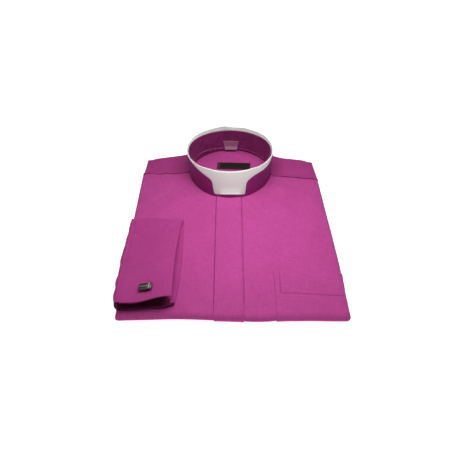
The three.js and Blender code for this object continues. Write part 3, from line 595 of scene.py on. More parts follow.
def camera_and_light():
    scene = bpy.context.scene
    cam = bpy.data.cameras.new("camera")
    cam.sensor_width = 36.0
    cam.lens = PHOTO.focal_px / PHOTO.size * cam.sensor_width
    scene.camera = placed("camera", cam)
    scene.camera.location = (0, (PHOTO.y - ORIGIN_Y) * MM, PHOTO.z * MM)
    scene.camera.rotation_euler = (radians(90 - PHOTO.down), 0, 0)
    scene.view_settings.view_transform = "Standard"
    world = bpy.data.worlds.new("studio")
    world.use_nodes = True
    back = world.node_tree.nodes["Background"]
    wire(world.node_tree, back, {"Color": (1, 0.985, 0.99, 1), "Strength": WORLD})
    scene.world = world
    sun = bpy.data.lights.new("left_key", "SUN")
    sun.energy = SUN.strength
    sun.angle = radians(SUN.angle)
    aim = (-Vector(SUN.source)).to_track_quat("-Z", "Y")
    placed("left_key", sun).rotation_euler = aim.to_euler()
    box = bpy.data.lights.new("softbox", "AREA")
    box.energy = SOFTBOX.power
    box.size = SOFTBOX.size
    place = (SOFTBOX.x, SOFTBOX.y - ORIGIN_Y, SOFTBOX.z)
    placed("softbox", box).location = [v * MM for v in place]


def floor():
    mesh = bpy.data.meshes.new("floor")
    corners = [(x * FLOOR.half, y * FLOOR.half, FLOOR.z)
               for x, y in ((-1, -1), (1, -1), (1, 1), (-1, 1))]
    mesh.from_pydata(corners, [], [(0, 1, 2, 3)])
    white = plain_material("floor_white", [FLOOR.tone] * 3, 0.9, grain=3, varied=0.005,
                           depth=0.00001, spec=0.1)
    wire(white.node_tree, white.node_tree.nodes["Principled BSDF"],
         {"Emission Color": (1, 1, 1, 1), "Emission Strength": FLOOR.glow})
    mesh.materials.append(white)
    placed("floor", mesh)


# ---- fronts, placket, pocket
FRONT_CUT = Sizes(long=290, share=0.92)  # what shows of a front, and how much of it is cloth
PLACKET_STITCH = 16.2
POCKET_STITCH = Sizes(x=63.6, y=33.0, drop=3.0)
PLACKET_DIP = 1.0  # the fronts sink beside the placket
DIP_END = 0.93  # t from which that dip fades out
SEAM_DIP = Sizes(wide=1.6, deep=1.1)  # the fronts sink a little into the yoke seam


def front(sign, name, node):
    nominal = float(nominal_edge(sign))
    s = spread(0.15, (17, 20), (20, 16), (56, 36), (72, 34), (nominal, 34), (nominal + FOLD_ARC, 18))
    t = spread(0, (0.02, 8), (BEND_T, 32), (DIP_END, 74), (1.0, 10), (T_END, 18))
    ss, tt = np.meshgrid(s, t)
    grid = relax(panel(sign, ss, tt))
    n = up_normals(grid)
    xn = sign * np.minimum(ss, nominal)
    outside = smooth(NECK.rx, NECK.rx + 2, np.abs(xn - NECK.x))
    push = -SEAM_DIP.deep * ridge(seam_y(xn) - GAP - grid[..., 1], SEAM_DIP.wide) * outside
    dip = PLACKET_DIP * (1 - smooth(DIP_END, 1.0, tt))
    push = push - dip * ridge(ss - PLACKET_HALF - 0.5, 0.7)
    grid = grid + n * push[..., None]
    uv = cloth_uv(ss * sign, tt, 0)
    obj = shell(name, grid, grid - up_normals(grid) * CLOTH, uv, BODY, "shirt_cloth", node)


def strip_grid(s, t, lift):
    """Grid over both fronts: s is x, from the right front (negative) to the left (positive)."""
    ss, tt = np.meshgrid(s, t)
    grid = relax(panel(np.where(ss < 0, -1.0, 1.0), np.abs(ss), tt))
    return grid + up_normals(grid) * lift(ss, tt)[..., None], cloth_uv(ss, tt, PLACE.placket)


PLACKET_PUCKER = Sizes(x=13.5, t=0.035, deep=0.9)  # small crease near the collar


def placket():
    s = spread(-PLACKET_HALF, (-15, 8), (14, 40), (PLACKET_HALF, 18))
    t = spread(0, (BEND_T, 30), (1.0, 90), (T_END, 18))

    def top(ss, tt):
        wave = 0.12 * np.sin(tt * 60 + ss / 9) + 0.1 * np.sin(tt * 23)
        fall = smooth(PLACKET_HALF - 0.9, PLACKET_HALF, ss)
        stitch = -0.15 * ridge(ss - PLACKET_STITCH, 0.55)
        across = (tt - PLACKET_PUCKER.t) * 140 - (ss - PLACKET_PUCKER.x) * 0.5
        pucker = -PLACKET_PUCKER.deep * ridge(across, 1.1) * smooth(8, 13, ss)
        return GAP + lerp(1.0 + wave, 0.4, fall) + stitch + pucker

    outer, uv = strip_grid(s, t, top)
    inner, _ = strip_grid(s, t, lambda ss, tt: 0 * ss + GAP / 2)
    obj = shell("placket_strip", outer, inner, uv, BODY, "shirt_cloth", "placket")
    lines = np.array([PLACKET_STITCH - 1, PLACKET_STITCH, PLACKET_STITCH + 1])
    path, _ = strip_grid(lines, np.linspace(0.01, T_END, 120), top)
    stitches("placket_stitching", path[:, 1], up_normals(path)[:, 1])


def pocket():
    nominal = float(nominal_edge(1))
    edge = POCKET.left
    s = spread(edge, (edge + 10, 34), (nominal, 50), (nominal + FOLD_ARC * 0.72, 12))
    t0 = panel_t(POCKET.top)
    t1 = panel_t(POCKET.top - POCKET.hem)
    level_t = panel_t(POCKET_STITCH.y)
    level_end = panel_t(POCKET_STITCH.y - POCKET_STITCH.drop)
    t = spread(t0, (t0 + 0.02, 8), (t1 + 0.02, 14), (level_t - 0.01, 20), (level_end + 0.01, 24),
               (1.0, 18), (T_END - 0.02, 14))
    ss, tt = np.meshgrid(s, t)
    grid = relax(panel(1, ss, tt))
    n = up_normals(grid)
    px = POCKET_STITCH.x
    standing = ridge(ss - px, 0.6) * (1 - smooth(level_t, level_t + 0.01, tt))
    slope = lerp(level_t, level_end, np.clip((ss - px) / (nominal - px), 0, 1))
    level = ridge((tt - slope) * T_LONG, 0.7) * smooth(-2, 0, ss - px)
    hem = 0.3 * ridge((tt - t1) * T_LONG, 1.0)
    lift = GAP + 0.85 - 0.75 * np.maximum(np.maximum(standing, level), hem)
    lift = lift + 0.1 * np.sin(ss / 7.0) * np.sin(tt * 70)
    obj = shell("pocket_cloth", grid + n * lift[..., None], grid + n * (GAP * 0.5),
                cloth_uv(ss, tt, PLACE.pocket), BODY, "shirt_cloth", "pocket")
    for tag, line_s, line_t in (
        ("upright", np.full(60, px), np.linspace(t0 + 0.01, level_t, 60)),
        ("level", np.linspace(px, nominal, 60), np.linspace(level_t, level_end, 60)),
        ("side", np.full(60, edge + 1.6), np.linspace(t0 + 0.01, T_END - 0.03, 60)),
    ):
        base = panel(1, line_s, line_t)
        across = panel(1, line_s + 0.5, line_t) - panel(1, line_s - 0.5, line_t)
        down = panel(1, line_s, line_t + 0.003) - panel(1, line_s, line_t - 0.003)
        up = unit(np.cross(down, across))
        stitches("pocket_stitching_" + tag, base + up * (GAP + 0.5), up)


# ---- yoke
YOKE_IN = 72.0  # columns nearer than this start at the collar
YOKE_REACH = 137.0  # columns from here on roll over the side fold
YOKE_LEVEL = 290.0  # y at which the columns are set out
YOKE_HUG = 12.0  # width over which the next columns follow the collar
YOKE_LAP = 1.0  # the yoke's folded edge over the fronts
YOKE_EDGE = Sizes(high=0.75, soft=6.0, stitch=3.2)
YOKE_STITCHED = [("right", -126.0, -67.5), ("left", 70.5, 128.0)]  # from x to x
# small ripples behind the shoulders: x, y, height, width, length
YOKE_RIPPLES = [(96, 300, 0.5, 5, 12), (-104, 304, 0.35, 6, 10), (-88, 292, 0.3, 4, 9)]


def yoke():
    ring = NECK.rx + NECK_GAP + 0.2
    cols = spread(-YOKE_REACH - FOLD_ARC, (-YOKE_REACH, 18), (-YOKE_IN, 40), (-58, 30), (58, 60),
                  (YOKE_IN, 30), (YOKE_REACH, 40), (YOKE_REACH + FOLD_ARC, 18))
    cc, rr = np.meshgrid(cols, spread(0, (0.12, 14), (1, 28), (2, 18)))
    sign = np.where(cc < 0, -1.0, 1.0)
    far = np.abs(cc)
    p = np.clip((far - YOKE_REACH) / FOLD_ARC, 0, 1)
    q = np.clip(rr - 1, 0, 1)
    inside = far < YOKE_IN
    out = np.clip((far - YOKE_IN) / (YOKE_REACH - YOKE_IN), 0, 1)
    level_edge = flat_edge(sign, YOKE_LEVEL)
    xn = np.where(inside, NECK.x + cc * (ring + 0.1) / YOKE_IN,
                  lerp(NECK.x + sign * (ring + 0.6), level_edge, out))
    start = np.where(inside, neckline_y(xn, 1, NECK_GAP + 0.2), seam_y(xn) - YOKE_LAP)
    y = lerp(start, back_y(xn) - FOLD_R, np.clip(rr, 0, 1))
    k = np.clip((NECK.y - y) / (NECK.front + NECK_GAP), 0, 1)
    near = 1 - smooth(ring, ring + YOKE_HUG, np.abs(xn - NECK.x))
    hug = np.where(inside, 0, ring * (1 - np.sqrt(1 - k * k)) * near)
    x = xn - sign * hug + (flat_edge(sign, y) - level_edge) * smooth(0.7, 1.0, out)
    grid = relax(rolled(sign, 1, x, y, p, q))
    n = up_normals(grid)
    from_seam = y - start
    raised = YOKE_EDGE.high * (1 - smooth(2.0, YOKE_EDGE.soft, from_seam))
    stitch = -0.3 * ridge(from_seam - YOKE_EDGE.stitch, 0.8)
    lift = (raised + stitch) * ~inside
    for rx, ry, high, wide, long in YOKE_RIPPLES:
        lift = lift + high * ridge(x - rx, wide) * ridge(y - ry, long)
    grid = grid + n * lift[..., None]
    obj = shell("yoke_cloth", grid, grid - up_normals(grid) * CLOTH,
                stack(cc + PLACE.yoke, rr * 45 + 300), YOKE_PAINTED_SHADE, "shirt_cloth", "yoke")
    for tag, x0, x1 in YOKE_STITCHED:
        xs = np.linspace(x0, x1, 60)
        ys = seam_y(xs) - YOKE_LAP + YOKE_EDGE.stitch
        path = stack(xs, ys, top_z(xs, ys) + cloth_relief(xs, ys) + 0.35)
        stitches("yoke_stitching_" + tag, path, upright(xs))


# ---- collar
NECK_FOOT = float(top_z(NECK.x, NECK.y - NECK.front))


def ring_points(angle, z, inward):
    """Points of the collar's stack of bands: angle from the middle front towards +X."""
    t = np.clip((z - NECK_FOOT) / (RIM.z - NECK_FOOT), -0.2, 1.1)
    ahead = np.cos(angle) > 0
    rx = lerp(NECK.rx, RIM.rx, t) - inward
    reach = np.where(ahead, NECK.front, NECK.back)
    ry = lerp(reach, np.where(ahead, RIM.front, RIM.back), t) - inward
    x = lerp(NECK.x, RIM.x, t) + rx * np.sin(angle)
    return stack(x, lerp(NECK.y, RIM.y, t) - ry * np.cos(angle), z)


def ring_base(angle):
    foot = ring_points(angle, NECK_FOOT, 0)
    return top_z(foot[..., 0], foot[..., 1]) - 1.5


def from_front(angle):
    d = np.degrees(angle) % 360
    return np.where(d > 180, d - 360, d)


RING_ANGLES = np.radians(spread(
    0, (16, 16), (30, 44), (90, 44), (180, 66), (190, 20), (270, 50), (330, 44), (344, 44), (360, 16),
))[:-1]


def band_top(angle):
    return RIM.z - look(WINDOW, 1, from_front(angle))


def inner_top(angle):
    return RIM.z - look(INNER_TOP, 1, np.abs(from_front(angle)))


def ring_shell(name, z, depth, thick, place, material, slot, node):
    """Closed wall round the neck from heights, outer depths and thicknesses at each angle."""
    uv = stack(RING_ANGLES * 66 + place, z)
    outer, inner = ring_points(RING_ANGLES, z, depth), ring_points(RING_ANGLES, z, depth + thick)
    return shell(name, outer, inner, uv, material, slot, node, looped=True)


BAND_STEP = BAND + GAP
# the insert leans out over the band's top edge; in front the lean fades higher up
WINDOW_SIDE = (12, 17)  # degrees from the front over which the front window ends
BAND_SIDE = (30, 42)  # degrees over which the band's level top begins
LIP = Sizes(start=GAP, to=1.1, out=1.25, up=0.7, fade=10)
FLARE = Sizes(high=2.2, out=0.7)  # lower edge of the insert in front
INSERT_LAP = Sizes(deg=-172.5, step=0.7)  # the insert's ends overlap behind
FACING_HIGHLIGHT_HIGH = 1.1  # height of the painted highlight along the facing's lower edge
FACING_STEP = 0.95  # the facing stands off the band below its edge
# crinkles of the inner band: degrees, height, depth, half width in degrees, half height
CRINKLES = [
    (121, 44, 0.7, 2.2, 9), (127, 40, -0.6, 1.8, 8), (133, 46, 0.6, 2.0, 7),
    (-128, 42, 0.5, 3.0, 9), (150, 30, 0.35, 4.0, 12), (-152, 34, 0.4, 4.0, 12),
]


def outer_band():
    f = np.linspace(0, 1, 30)[:, None]
    z = lerp(ring_base(RING_ANGLES), band_top(RING_ANGLES), f)
    swell = 0.25 * np.sin(pi * f) * np.sin(2.5 * RING_ANGLES + 0.6)
    obj = ring_shell("collar_outer_cloth", z, -swell, BAND, 0,
                     COLLAR, "collar_cloth", "collar_band_outer")


def insert():
    deg = from_front(RING_ANGLES)
    flat = np.abs(deg)
    ahead = 1 - smooth(*WINDOW_SIDE, flat)
    lip = LIP.out * np.maximum(smooth(*BAND_SIDE, flat), ahead)
    rim = RIM.z + look(RIM_RISE, 1, deg)
    top = band_top(RING_ANGLES) + LIP.up * ahead
    lip_from, lip_to = top + LIP.start, np.minimum(top + LIP.to, rim - 0.4)
    lip_to = lerp(lip_to, rim - 0.3, smooth(50, 100, flat))
    foot = even_rows(ring_base(RING_ANGLES) + 0.4, lip_from, 17)
    upper = lerp(lip_to, rim, spread(0, (0.15, 9), (1, 14))[:, None])
    z = np.concatenate([foot, even_rows(lip_from, lip_to, 5), upper])
    settled = 1 - smooth(lip_to, lip_to + LIP.fade, upper) * (1 - smooth(22, 34, flat))
    out = np.concatenate([0 * foot, lip * smooth(0, 1, even_rows(0, 1, 5)), lip * settled])
    flare = smooth(lip_from, lip_to, z) * (1 - smooth(lip_to, lip_to + FLARE.high, z))
    lapped = smooth(INSERT_LAP.deg + 0.6, INSERT_LAP.deg - 0.6, deg) * smooth(-181, -179, deg)
    out = out + FLARE.out * flare * ahead + INSERT_LAP.step * lapped * (deg < 0)
    ring_shell("collar_white_insert", z, BAND_STEP - out, BAND, PLACE.insert,
               WHITE, "collar_white", "collar_insert")


def inner_band():
    deg = from_front(RING_ANGLES)
    top = inner_top(RING_ANGLES)
    edge = look(FACING_EDGE, 1, deg)
    z = np.concatenate([
        even_rows(ring_base(RING_ANGLES) + 0.2, edge - 0.5, 7),
        even_rows(edge - 0.5, edge + 1.6, 21), even_rows(edge + 1.6, top, 35), top[None],
    ])
    thick = BAND - FACING_STEP * (1 - smooth(edge - 0.3, edge + 0.3, z))
    thick = thick + 0.3 * ridge(z - edge - 0.7, 0.6)
    for at, height, deep, wide, tall in CRINKLES:
        thick = thick + deep * ridge(deg - at, wide) * ridge(z - height, tall)
    obj = ring_shell("collar_inner_cloth", z, 2 * BAND_STEP, thick, PLACE.facing,
                     FACING, "collar_cloth", "collar_band_inner")

    # painted highlight: a lighter band just above the facing's lower edge
    def is_painted_highlight(x, y, z, normal):
        turn = from_front(np.arctan2(x - NECK.x, NECK.y - y))
        above = z - look(FACING_EDGE, 1, turn)
        return (above > 0) & (above < FACING_HIGHLIGHT_HIGH)

    second_material(obj, FACING_HIGHLIGHT, is_painted_highlight)


def collar_stitches():
    a = np.linspace(0, 2 * pi, 900)
    out = stack(np.sin(a), -np.cos(a), 0)
    inside = 2 * BAND_STEP + BAND
    low = ring_base(a) + 2.6
    for tag, inward, height, facing in (
        ("outer_top", -0.05, np.maximum(band_top(a) - 2.0, low), 1),
        ("outer_low", -0.05, low, 1),
        ("inner_top", inside, inner_top(a) - 2.0, -1),
        ("inner_low", inside + 0.2, look(FACING_EDGE, 1, from_front(a)) + 1.6, -1),
    ):
        path = ring_points(a, height, inward)
        stitches("collar_stitching_" + tag, path, out * facing, "collar_cloth", COLLAR_THREAD)


# ---- neck floor, label and tab
NECK_FLOOR = Sizes(inset=1.6, z=10.0)
FLOOR_CREASE = Sizes(x=13, sweep=22, back=338, front=300, high=0.8, wide=1.5)


def floor_z(x, y):
    z = NECK_FLOOR.z - 0.4 * smooth(0, 60, np.abs(x - 12) * 0.8)
    z = z + 0.35 * np.exp(-(((x - 30) + (y - 300) * 0.5) ** 2) / 60)
    back, ahead = FLOOR_CREASE.back, FLOOR_CREASE.front
    curve = FLOOR_CREASE.x + FLOOR_CREASE.sweep * smooth(back, ahead, y)
    crease = FLOOR_CREASE.high * ridge(x - curve, FLOOR_CREASE.wide)
    z = z + crease * along(y, ahead, back - 4, 5)
    return z + 0.15 * np.sin(x / 11 + y / 30) * np.sin(y / 13)


def neck_floor():
    a = np.linspace(-1, 1, 90)
    bb, aa = np.meshgrid(a, a)
    u = aa * np.sqrt(1 - bb * bb / 2)
    v = bb * np.sqrt(1 - aa * aa / 2)
    reach = np.where(v < 0, NECK.front, NECK.back) - NECK_FLOOR.inset
    x = NECK.x + u * (NECK.rx - NECK_FLOOR.inset)
    y = NECK.y + v * reach
    grid = stack(x, y, floor_z(x, y))
    obj = shell("neck_floor_cloth", grid, grid - [0, 0, 1.0], stack(x + PLACE.floor, y),
                BODY, "shirt_cloth", "yoke_inner")


def label_patch(name, half_w, half_l, middle, low, high, material, *nodes):
    """Flat woven patch on the neck floor, in the label's own turned axes."""
    uu, vv = np.meshgrid(middle + np.linspace(-half_w, half_w, 40), np.linspace(-half_l, half_l, 18))
    c, s = cos(LABEL.turn), sin(LABEL.turn)
    x, y = LABEL.x + uu * c - vv * s, LABEL.y + uu * s + vv * c
    z = floor_z(x, y)
    rim = np.maximum(smooth(half_w - 1.6, half_w, np.abs(uu - middle)),
                     smooth(half_l - 1.4, half_l, np.abs(vv)))
    top = stack(x, y, z + high - 0.2 * rim)
    uv = stack(uu + PLACE.label, vv)
    return shell(name, top, stack(x, y, z + low), uv, material, "label_cloth", *nodes)


LABEL_END_HALF = 1.7  # half the width of the label's folded-over end


def label():
    half_w, half_l, end = LABEL.w / 2, LABEL.l / 2, LABEL_END_HALF
    obj = label_patch("neck_label_cloth", half_w, half_l, 0, 0.25, 0.8, LABEL_CLOTH, "neck_label")
    ends = [
        label_patch("neck_label_end", end, half_l - 1.2, end + 0.4 - half_w, 0.6, 1.1, LABEL_END),
        label_patch("neck_label_middle", half_w - 5, half_l - 3, 1, 0.5, 0.95, LABEL_MIDDLE),
    ]


def size_tab():
    depth = 3 * BAND_STEP
    jj, ii = np.meshgrid(np.linspace(-0.5, 0.5, 24), spread(-0.16, (0, 8), (1, 20)))
    below = np.clip(-ii / SIZE_TAB.tip, 0, 1)
    width = lerp(SIZE_TAB.bottom, SIZE_TAB.top, np.maximum(ii, 0)) * np.sqrt(1 - below ** 2)
    z = SIZE_TAB.z + 1 + (SIZE_TAB.h - 1) * ii
    angle = pi - (jj * width + SIZE_TAB.aside) / NECK.rx
    curl = SIZE_TAB.curl * (1 - smooth(0, 0.5, ii)) ** 2
    outer = ring_points(angle, z, depth + curl)
    inner = ring_points(angle, z, depth + curl + 0.35)
    obj = shell("size_tab_tape", outer, inner, stack(jj * width + PLACE.tab, z),
                TAB, "tab_film", "size_tab")
    # painted shade: the tape's lower end, under its curl, takes a dark colour
    second_material(obj, TAB_PAINTED_SHADE, lambda x, y, z, normal: z < SIZE_TAB.z + 1)


# ---- cuff and sleeve
PAIR_OFF = CUFF_WALL / 2 + PAIR_SPLIT / 2
CUFF_LEAN = (-118, -72)  # x over which the left end's form turns into the right end's
CUFF_OPEN = Sizes(left=8.5, right=14.5, bow=1.2)  # how far the mouth gapes at its ends


def lower_mid(x, y):
    base = top_z(np.clip(x, -129, 0), y) + GAP + 0.25 + PAIR_OFF + CUFF_WALL / 2
    return base + 0.8 * smooth(60, 10, y) * smooth(-110, -70, x)


def upper_mid(x, y):
    far = lower_mid(x, y) + 2 * PAIR_TURN
    open_left = CUFF_OPEN.left * smooth(150, 12, y) ** 1.3
    open_right = CUFF_OPEN.right * smooth(158, 14, y) ** 1.1
    bow = CUFF_OPEN.bow * np.sin(pi * np.clip((y - 10) / 150, 0, 1))
    return far + lerp(open_left, open_right, smooth(*CUFF_LEAN, x)) + bow


def near_upper(x):
    return CUFF.near - 1.4 + 4.6 * smooth(*CUFF_LEAN, x) + 1.5 * smooth(-128, -135, x)


def near_lower(x):
    return CUFF.near - 1.2 + 2.2 * smooth(-125, -95, x) + 5 * smooth(-88, -64, x) ** 2


def far_fold(x):
    return CUFF.far - 5.6 * smooth(-125, -55, x)


def cuff_x(x, y, share=0.0):
    """Plan position of a cuff point, led by the wrist fold and the free edge; share runs
    from 0 in the upper pair of layers to 1 in the lower."""
    u = (x - CUFF.edge) / (CUFF.wrist - CUFF.edge)
    wrist = lerp(look(WRIST, 1, y), look(WRIST, 2, y), share) - CUFF.wrist
    edge = look(FREE_EDGE, 1, y) - CUFF.edge
    return x + lerp(edge, wrist, u)


def tube(x, v, push):
    """Cuff tube at x: v from 0 to 1 upper run, 1 to 2 far fold, 2 to 3 lower run."""
    far = far_fold(x) - PAIR_TURN
    low_far = lower_mid(x, far)
    half = (upper_mid(x, far) - low_far) / 2
    y_up = lerp(near_upper(x), far, np.clip(v, 0, 1))
    y_low = lerp(far, near_lower(x), np.clip(v - 2, 0, 1))
    phi = pi * np.clip(v - 1, 0, 1)
    y_fold = far + (PAIR_TURN + push) * np.sin(phi)
    z_fold = low_far + half + (half + push) * np.cos(phi)
    y = np.where(v <= 1, y_up, np.where(v < 2, y_fold, y_low))
    z = np.where(v <= 1, upper_mid(x, y_up) + push,
                 np.where(v < 2, z_fold, lower_mid(x, y_low) - push))
    return stack(cuff_x(x, np.minimum(y, far), np.clip(v - 1, 0, 1)), y, z)


CUFF_ROWS = Sizes(inner=30, bend=10, outer=44)
CUFF_SEW = 5.0  # stitched line inside the cuff's edges
MOUTH_SHADE = Sizes(x=-74.5, mouth_x=-70.3, y=40.0)  # painted shade: the cuff's mouth takes the dark cloth up to here


def cuff_path():
    """x and push from the sleeve seam over the wrist fold back to the free edge."""
    turn = CUFF.wrist - 0.9
    bend = np.linspace(0, pi, CUFF_ROWS.bend)[1:-1]
    inner = np.linspace(CUFF.seam, turn, CUFF_ROWS.inner)
    outer = np.linspace(turn, CUFF.edge, CUFF_ROWS.outer)
    x = np.concatenate([inner, turn + PAIR_OFF * np.sin(bend), outer])
    push = PAIR_OFF * np.concatenate([0 * inner - 1, -np.cos(bend), 0 * outer + 1])
    return x, push


def cuff_wave(x, y):
    """Soft unevenness of the cuff's upper layer, and the pull round the link."""
    wave = 0.25 * np.sin(y / 14 + 1) * np.sin(x / 12) + 0.15 * np.sin(y / 6.5 - x / 9)
    dimple = 0.7 * ridge(x - LINK.x, 9) * ridge(y - LINK.y, 7)
    return wave - dimple


def cuff():
    x, push = cuff_path()
    vv, xx = np.meshgrid(spread(0, (1, 70), (2, 14), (3, 60)), x)
    mid = tube(xx, vv, np.broadcast_to(push[:, None], xx.shape))
    n = -grid_normals(mid)
    outer_run = np.arange(len(x)) > len(x) - CUFF_ROWS.outer
    upper = outer_run[:, None] * (vv <= 1)
    line = ridge(xx - CUFF.edge - CUFF_SEW, 0.7) + ridge(xx - CUFF.wrist + CUFF_SEW, 0.7)
    end_line = ridge(mid[..., 1] - near_upper(xx) - CUFF_SEW, 0.7)
    dip = 0.25 * np.maximum(line, end_line)
    mid[..., 2] += upper * (cuff_wave(xx, mid[..., 1]) - dip)
    obj = shell("cuff_cloth", mid + n * CUFF_WALL / 2, mid - n * CUFF_WALL / 2,
                stack(mid[..., 1] + PLACE.cuff, xx * np.sign(push)[:, None]),
                CUFFS_PAINTED_SHADE, "cuff_cloth", "cuff")

    # painted shade: faces inside the cuff's mouth and on the lower pair's near lip take the dark
    # cloth
    def is_painted_mouth_shade(x, y, z, normal):
        roof = upper_mid(x, y) + PAIR_OFF - CUFF_WALL
        reach = lerp(MOUTH_SHADE.mouth_x, MOUTH_SHADE.x, smooth(20, 28, y))
        inside = (z < roof) & (y < MOUTH_SHADE.y) & (x < reach)
        lip = (z < lower_mid(x, y) + PAIR_OFF + CUFF_WALL) & (y < near_lower(x) + 1.6)
        return inside | lip

    second_material(obj, CUFF_MOUTH_SHADE, is_painted_mouth_shade)
    ys = np.linspace(12.5, CUFF.far - 4, 150)
    xs = np.linspace(CUFF.edge + CUFF_SEW, CUFF.wrist - CUFF_SEW, 90)
    for tag, px, py in (
        ("wrist", 0 * ys + CUFF.wrist - CUFF_SEW, ys + 2.6),
        ("seam", 0 * ys + CUFF.edge + CUFF_SEW, ys),
        ("end", xs, near_upper(xs) + CUFF_SEW),
    ):
        z = upper_mid(px, py) + PAIR_OFF + CUFF_WALL / 2 + cuff_wave(px, py) - 0.22
        path = stack(cuff_x(px, py), py, z)
        stitches("cuff_stitching_" + tag, path, upright(px), "cuff_cloth")


SLEEVE_TOP_X = -134.0  # where the sleeve leaves the cuff
# section of the sleeve: share of the way round, x, share of the cuff's height
SLEEVE_OUT = [(0, SLEEVE_TOP_X, 1), (0.2, -137.6, 0.9), (0.4, -139.8, 0.66), (0.6, -140.2, 0.4),
              (0.8, -138.4, 0.14), (1, -134.5, 0)]
SLEEVE_MID = 140.6  # mean distance of its outermost line
SLEEVE_BACK = 9.0  # how far the opening draws back towards the table


def sleeve():
    kk, tt = np.meshgrid(np.linspace(0, 1, 130), np.linspace(0, 1, 40))
    near = CUFF.near - 1 + SLEEVE_BACK * tt ** 0.6
    y = lerp(near, CUFF.far - 0.8, kk)
    top = upper_mid(SLEEVE_TOP_X, y) - PAIR_OFF - CUFF_WALL / 2
    swell = np.sin(pi * tt)
    fine = 0.3 * np.sin(y / 6.1 + 3 * tt) + 0.2 * np.sin(y / 3.1 + 1)
    x = look(SLEEVE_OUT, 1, tt) + (look(SLEEVE_EDGE, 1, y) + SLEEVE_MID + fine) * swell
    grid = stack(x, y, look(SLEEVE_OUT, 2, tt) * top)
    n = -grid_normals(grid)
    obj = shell("sleeve_cloth", grid, grid - n * CLOTH, stack(y + PLACE.sleeve, tt * 40),
                CUFFS_PAINTED_SHADE, "cuff_cloth", "sleeve")

    # painted shade: the sleeve's inward faces and those under the cuff's mouth take the dark cloth
    def is_painted_sleeve_shade(x, y, z, normal):
        lip = (normal[:, 1] < -0.35) & (z < upper_mid(x, y) - 3)
        return ((normal[:, 0] > 0.15) & (y < 60)) | lip

    second_material(obj, CUFF_MOUTH_SHADE, is_painted_sleeve_shade)


# ---- cufflink
def link_axes():
    """Middle of the link on the cuff, and its three axes on the sloping cloth."""
    here = upper_mid(LINK.x, LINK.y) + PAIR_OFF + CUFF_WALL / 2
    ex = upper_mid(LINK.x + 6, LINK.y) - upper_mid(LINK.x - 6, LINK.y)
    ey = upper_mid(LINK.x, LINK.y + 6) - upper_mid(LINK.x, LINK.y - 6)
    ax = unit(np.array([12, 0, float(ex)]))
    az = unit(np.cross(ax, np.array([0, 12, float(ey)])))
    return np.array([LINK.x, LINK.y, float(here)]), ax, np.cross(az, ax), az


def stacked(name, outline, levels, shift, *looks):
    """Solid through copies of an outline: each level is a height and how far it draws in."""
    origin, ax, ay, az = link_axes()
    loops = []
    for z, draw in levels:
        plan = np.sign(outline) * np.maximum(np.abs(outline) - draw, 0) + [shift, 0]
        loops.append(origin + plan @ np.array([ax, ay]) + az * z)
    loft(name, loops, *looks)


def oblong(half_w, half_d, power):
    """Outline of a rectangle with rounded corners, round when power is 1."""
    a = 2 * pi * (np.arange(40) + 0.5) / 40
    round_plan = stack(np.cos(a), np.sin(a))
    return np.sign(round_plan) * np.abs(round_plan) ** power * [half_w, half_d]


STEM = 2.3  # radius of the link's stem
FACET = Sizes(half=1.5, x=4.4, high=0.5)  # raised facet across the head, its lighter metal a painted highlight


def cufflink():
    base = LINK.post + 2 * GAP
    top = base + LINK.h
    plate = [(base, 0.5), (base + 0.2, 0.1), (base + 0.5, 0), (top - 0.9, 0), (top - 0.3, 0.3),
             (top, 0.9)]
    stacked("cufflink_plate", oblong(LINK.w / 2, LINK.d / 2, 0.2), plate, 0,
            STEEL, "link_metal", "cufflink_head")
    # painted highlight: the facet's metal is made lighter
    facet = [(top - 0.1, 0), (top + FACET.high * 0.6, 0.1), (top + FACET.high, 0.5)]
    stacked("cufflink_facet", oblong(FACET.half, LINK.d / 2 - 0.8, 0.2), facet, FACET.x,
            LINK_HIGHLIGHT, "link_metal")
    # painted highlight: a lighter metal strip along the head
    line = [(top - 0.1, 0), (top + 0.12, 0.05), (top + 0.2, 0.3)]
    stacked("cufflink_line", oblong(LINK.w / 2 - 3.4, 0.9, 0.3), line, -1.6, LINK_HIGHLIGHT, "link_metal")
    # dark buttonhole stitching round the stem; its dark also paints the stem's shadow on the cuff
    stacked("cuff_buttonhole_stitching_and_painted_stem_shadow", oblong(1.2, LINK.d / 2 + 1.7, 0.5),
            [(0.0, 0.2), (0.2, 0), (0.34, 0.2)], 0, COLLAR_THREAD, "cuff_cloth")
    stacked("cufflink_stem", oblong(STEM, STEM, 1), [(0.15, -0.3), (0.5, 0), (base + 0.2, 0.1)], 0,
            STEEL, "link_metal", "cufflink_post")


# ---- hidden layers
# flat part of the layers under the neck end: y, left, right
CORE_BACK = [(303, -122, 97), (308, -95, 76), (316, -63, 63), (328, -46, 48), (338, -27, 32)]
SLEEVE_NOTCH = Sizes(start=2, end=174, depth=9)  # room for the sleeve in the left side
CORE_UNDER = Sizes(panels=2.1, neck=2.8)  # how far the layers stay under what covers them
WELL = 8.0  # how much wider than the neck the sunk part is
FRONT_IN = 0.9
CORE_TOP = 60  # points across the top


def core_top(x, y):
    """Top of the hidden layers: under the panels, sunk below the neck floor."""
    reach = np.where(y < NECK.y, NECK.front, NECK.back) + WELL
    d = np.hypot((x - NECK.x) / (NECK.rx + WELL), (y - NECK.y) / reach)
    cover = top_z(x, y) - CORE_UNDER.panels
    sunk = NECK_FLOOR.z - CORE_UNDER.neck
    return lerp(np.minimum(sunk, cover), cover, smooth(1, 1.12, d))


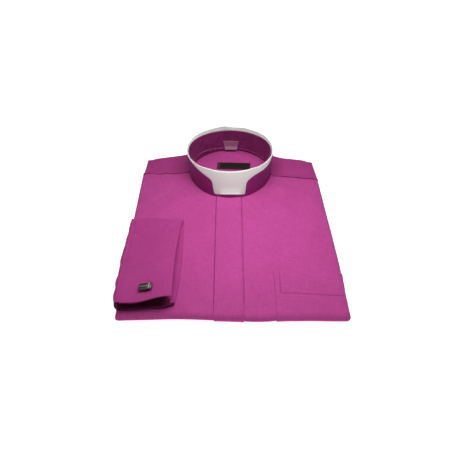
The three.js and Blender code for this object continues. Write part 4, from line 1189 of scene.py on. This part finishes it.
def core_edge(sign, y, flat, top_edge):
    """Half of a section: from the top fold down to the table, with two folded layers below."""
    r = FOLD_R - 2.4 - 0.6 * smooth(255, 285, y) - 3.6 * smooth(292, 300, y)
    notched = sign < 0 and SLEEVE_NOTCH.start < y < SLEEVE_NOTCH.end
    notch = SLEEVE_NOTCH.depth if notched else 0
    low = SIDE_LIFT + 2.2
    mid, half = (top_edge + low) / 2, (top_edge - low) / 2
    a = np.radians(np.linspace(62, -62, 9))
    edge = list(zip(flat + sign * r * np.cos(a), mid + half * np.sin(a)))
    tuck = flat - sign * (0.6 + notch)
    layers = SIDE_LIFT - 0.3 - 0.6 * smooth(24, 9, y)
    edge += [(flat - sign * 0.5, low), (tuck, SIDE_LIFT + 0.3), (tuck, layers)]
    pull = 1 + notch * 1.3 + 5 * smooth(24, 9, y) + 7 * smooth(292, 300, y)
    out = flat + sign * (FOLD_R - pull)
    a = np.radians([78, 45, 15, -15, -45, -78])
    for upper, lower, back in ((layers, 2.45, 0.0), (2.35, 0.0, 0.7)):
        rise = (upper + lower) / 2 + (upper - lower) / 2 * np.sin(a)
        edge += zip(out - sign * (back + 1.8 * (1 - np.cos(a))), rise)
        edge.append((out - sign * 3.4, lower))
    return edge


def folded_layers():
    front = FOLD_R + 1.6
    stations = np.concatenate([
        np.linspace(front, 30, 12), np.linspace(34, 170, 30), [173.8, 174.2],
        np.linspace(178, 296, 34),
    ])
    spans = [(y, float(flat_edge(-1, y)), float(flat_edge(1, y))) for y in stations] + CORE_BACK
    loops = []
    for y, left, right in spans:
        xs = np.linspace(left, right, CORE_TOP)
        loop = list(zip(xs, core_top(xs, y)))
        loop += core_edge(1, y, right, float(core_top(right, y)))
        loop += core_edge(-1, y, left, float(core_top(left, y)))[::-1]
        near = float(smooth(40, 12, y))
        shift = [float(front_y(x)) if k < CORE_TOP else FRONT_IN for k, (x, _) in enumerate(loop)]
        loops.append([(x, y + dy * near, z) for (x, z), dy in zip(loop, shift)])
    loft("folded_layers_cloth", loops, UNDER, "shirt_cloth", "folded_layers")


# ---- build
camera_and_light()
floor()
folded_layers()
front(-1, "front_right_cloth", "front_right")
front(1, "front_left_cloth", "front_left")
placket()
pocket()
yoke()
outer_band()
insert()
inner_band()
collar_stitches()
neck_floor()
label()
size_tab()
cuff()
sleeve()
cufflink()
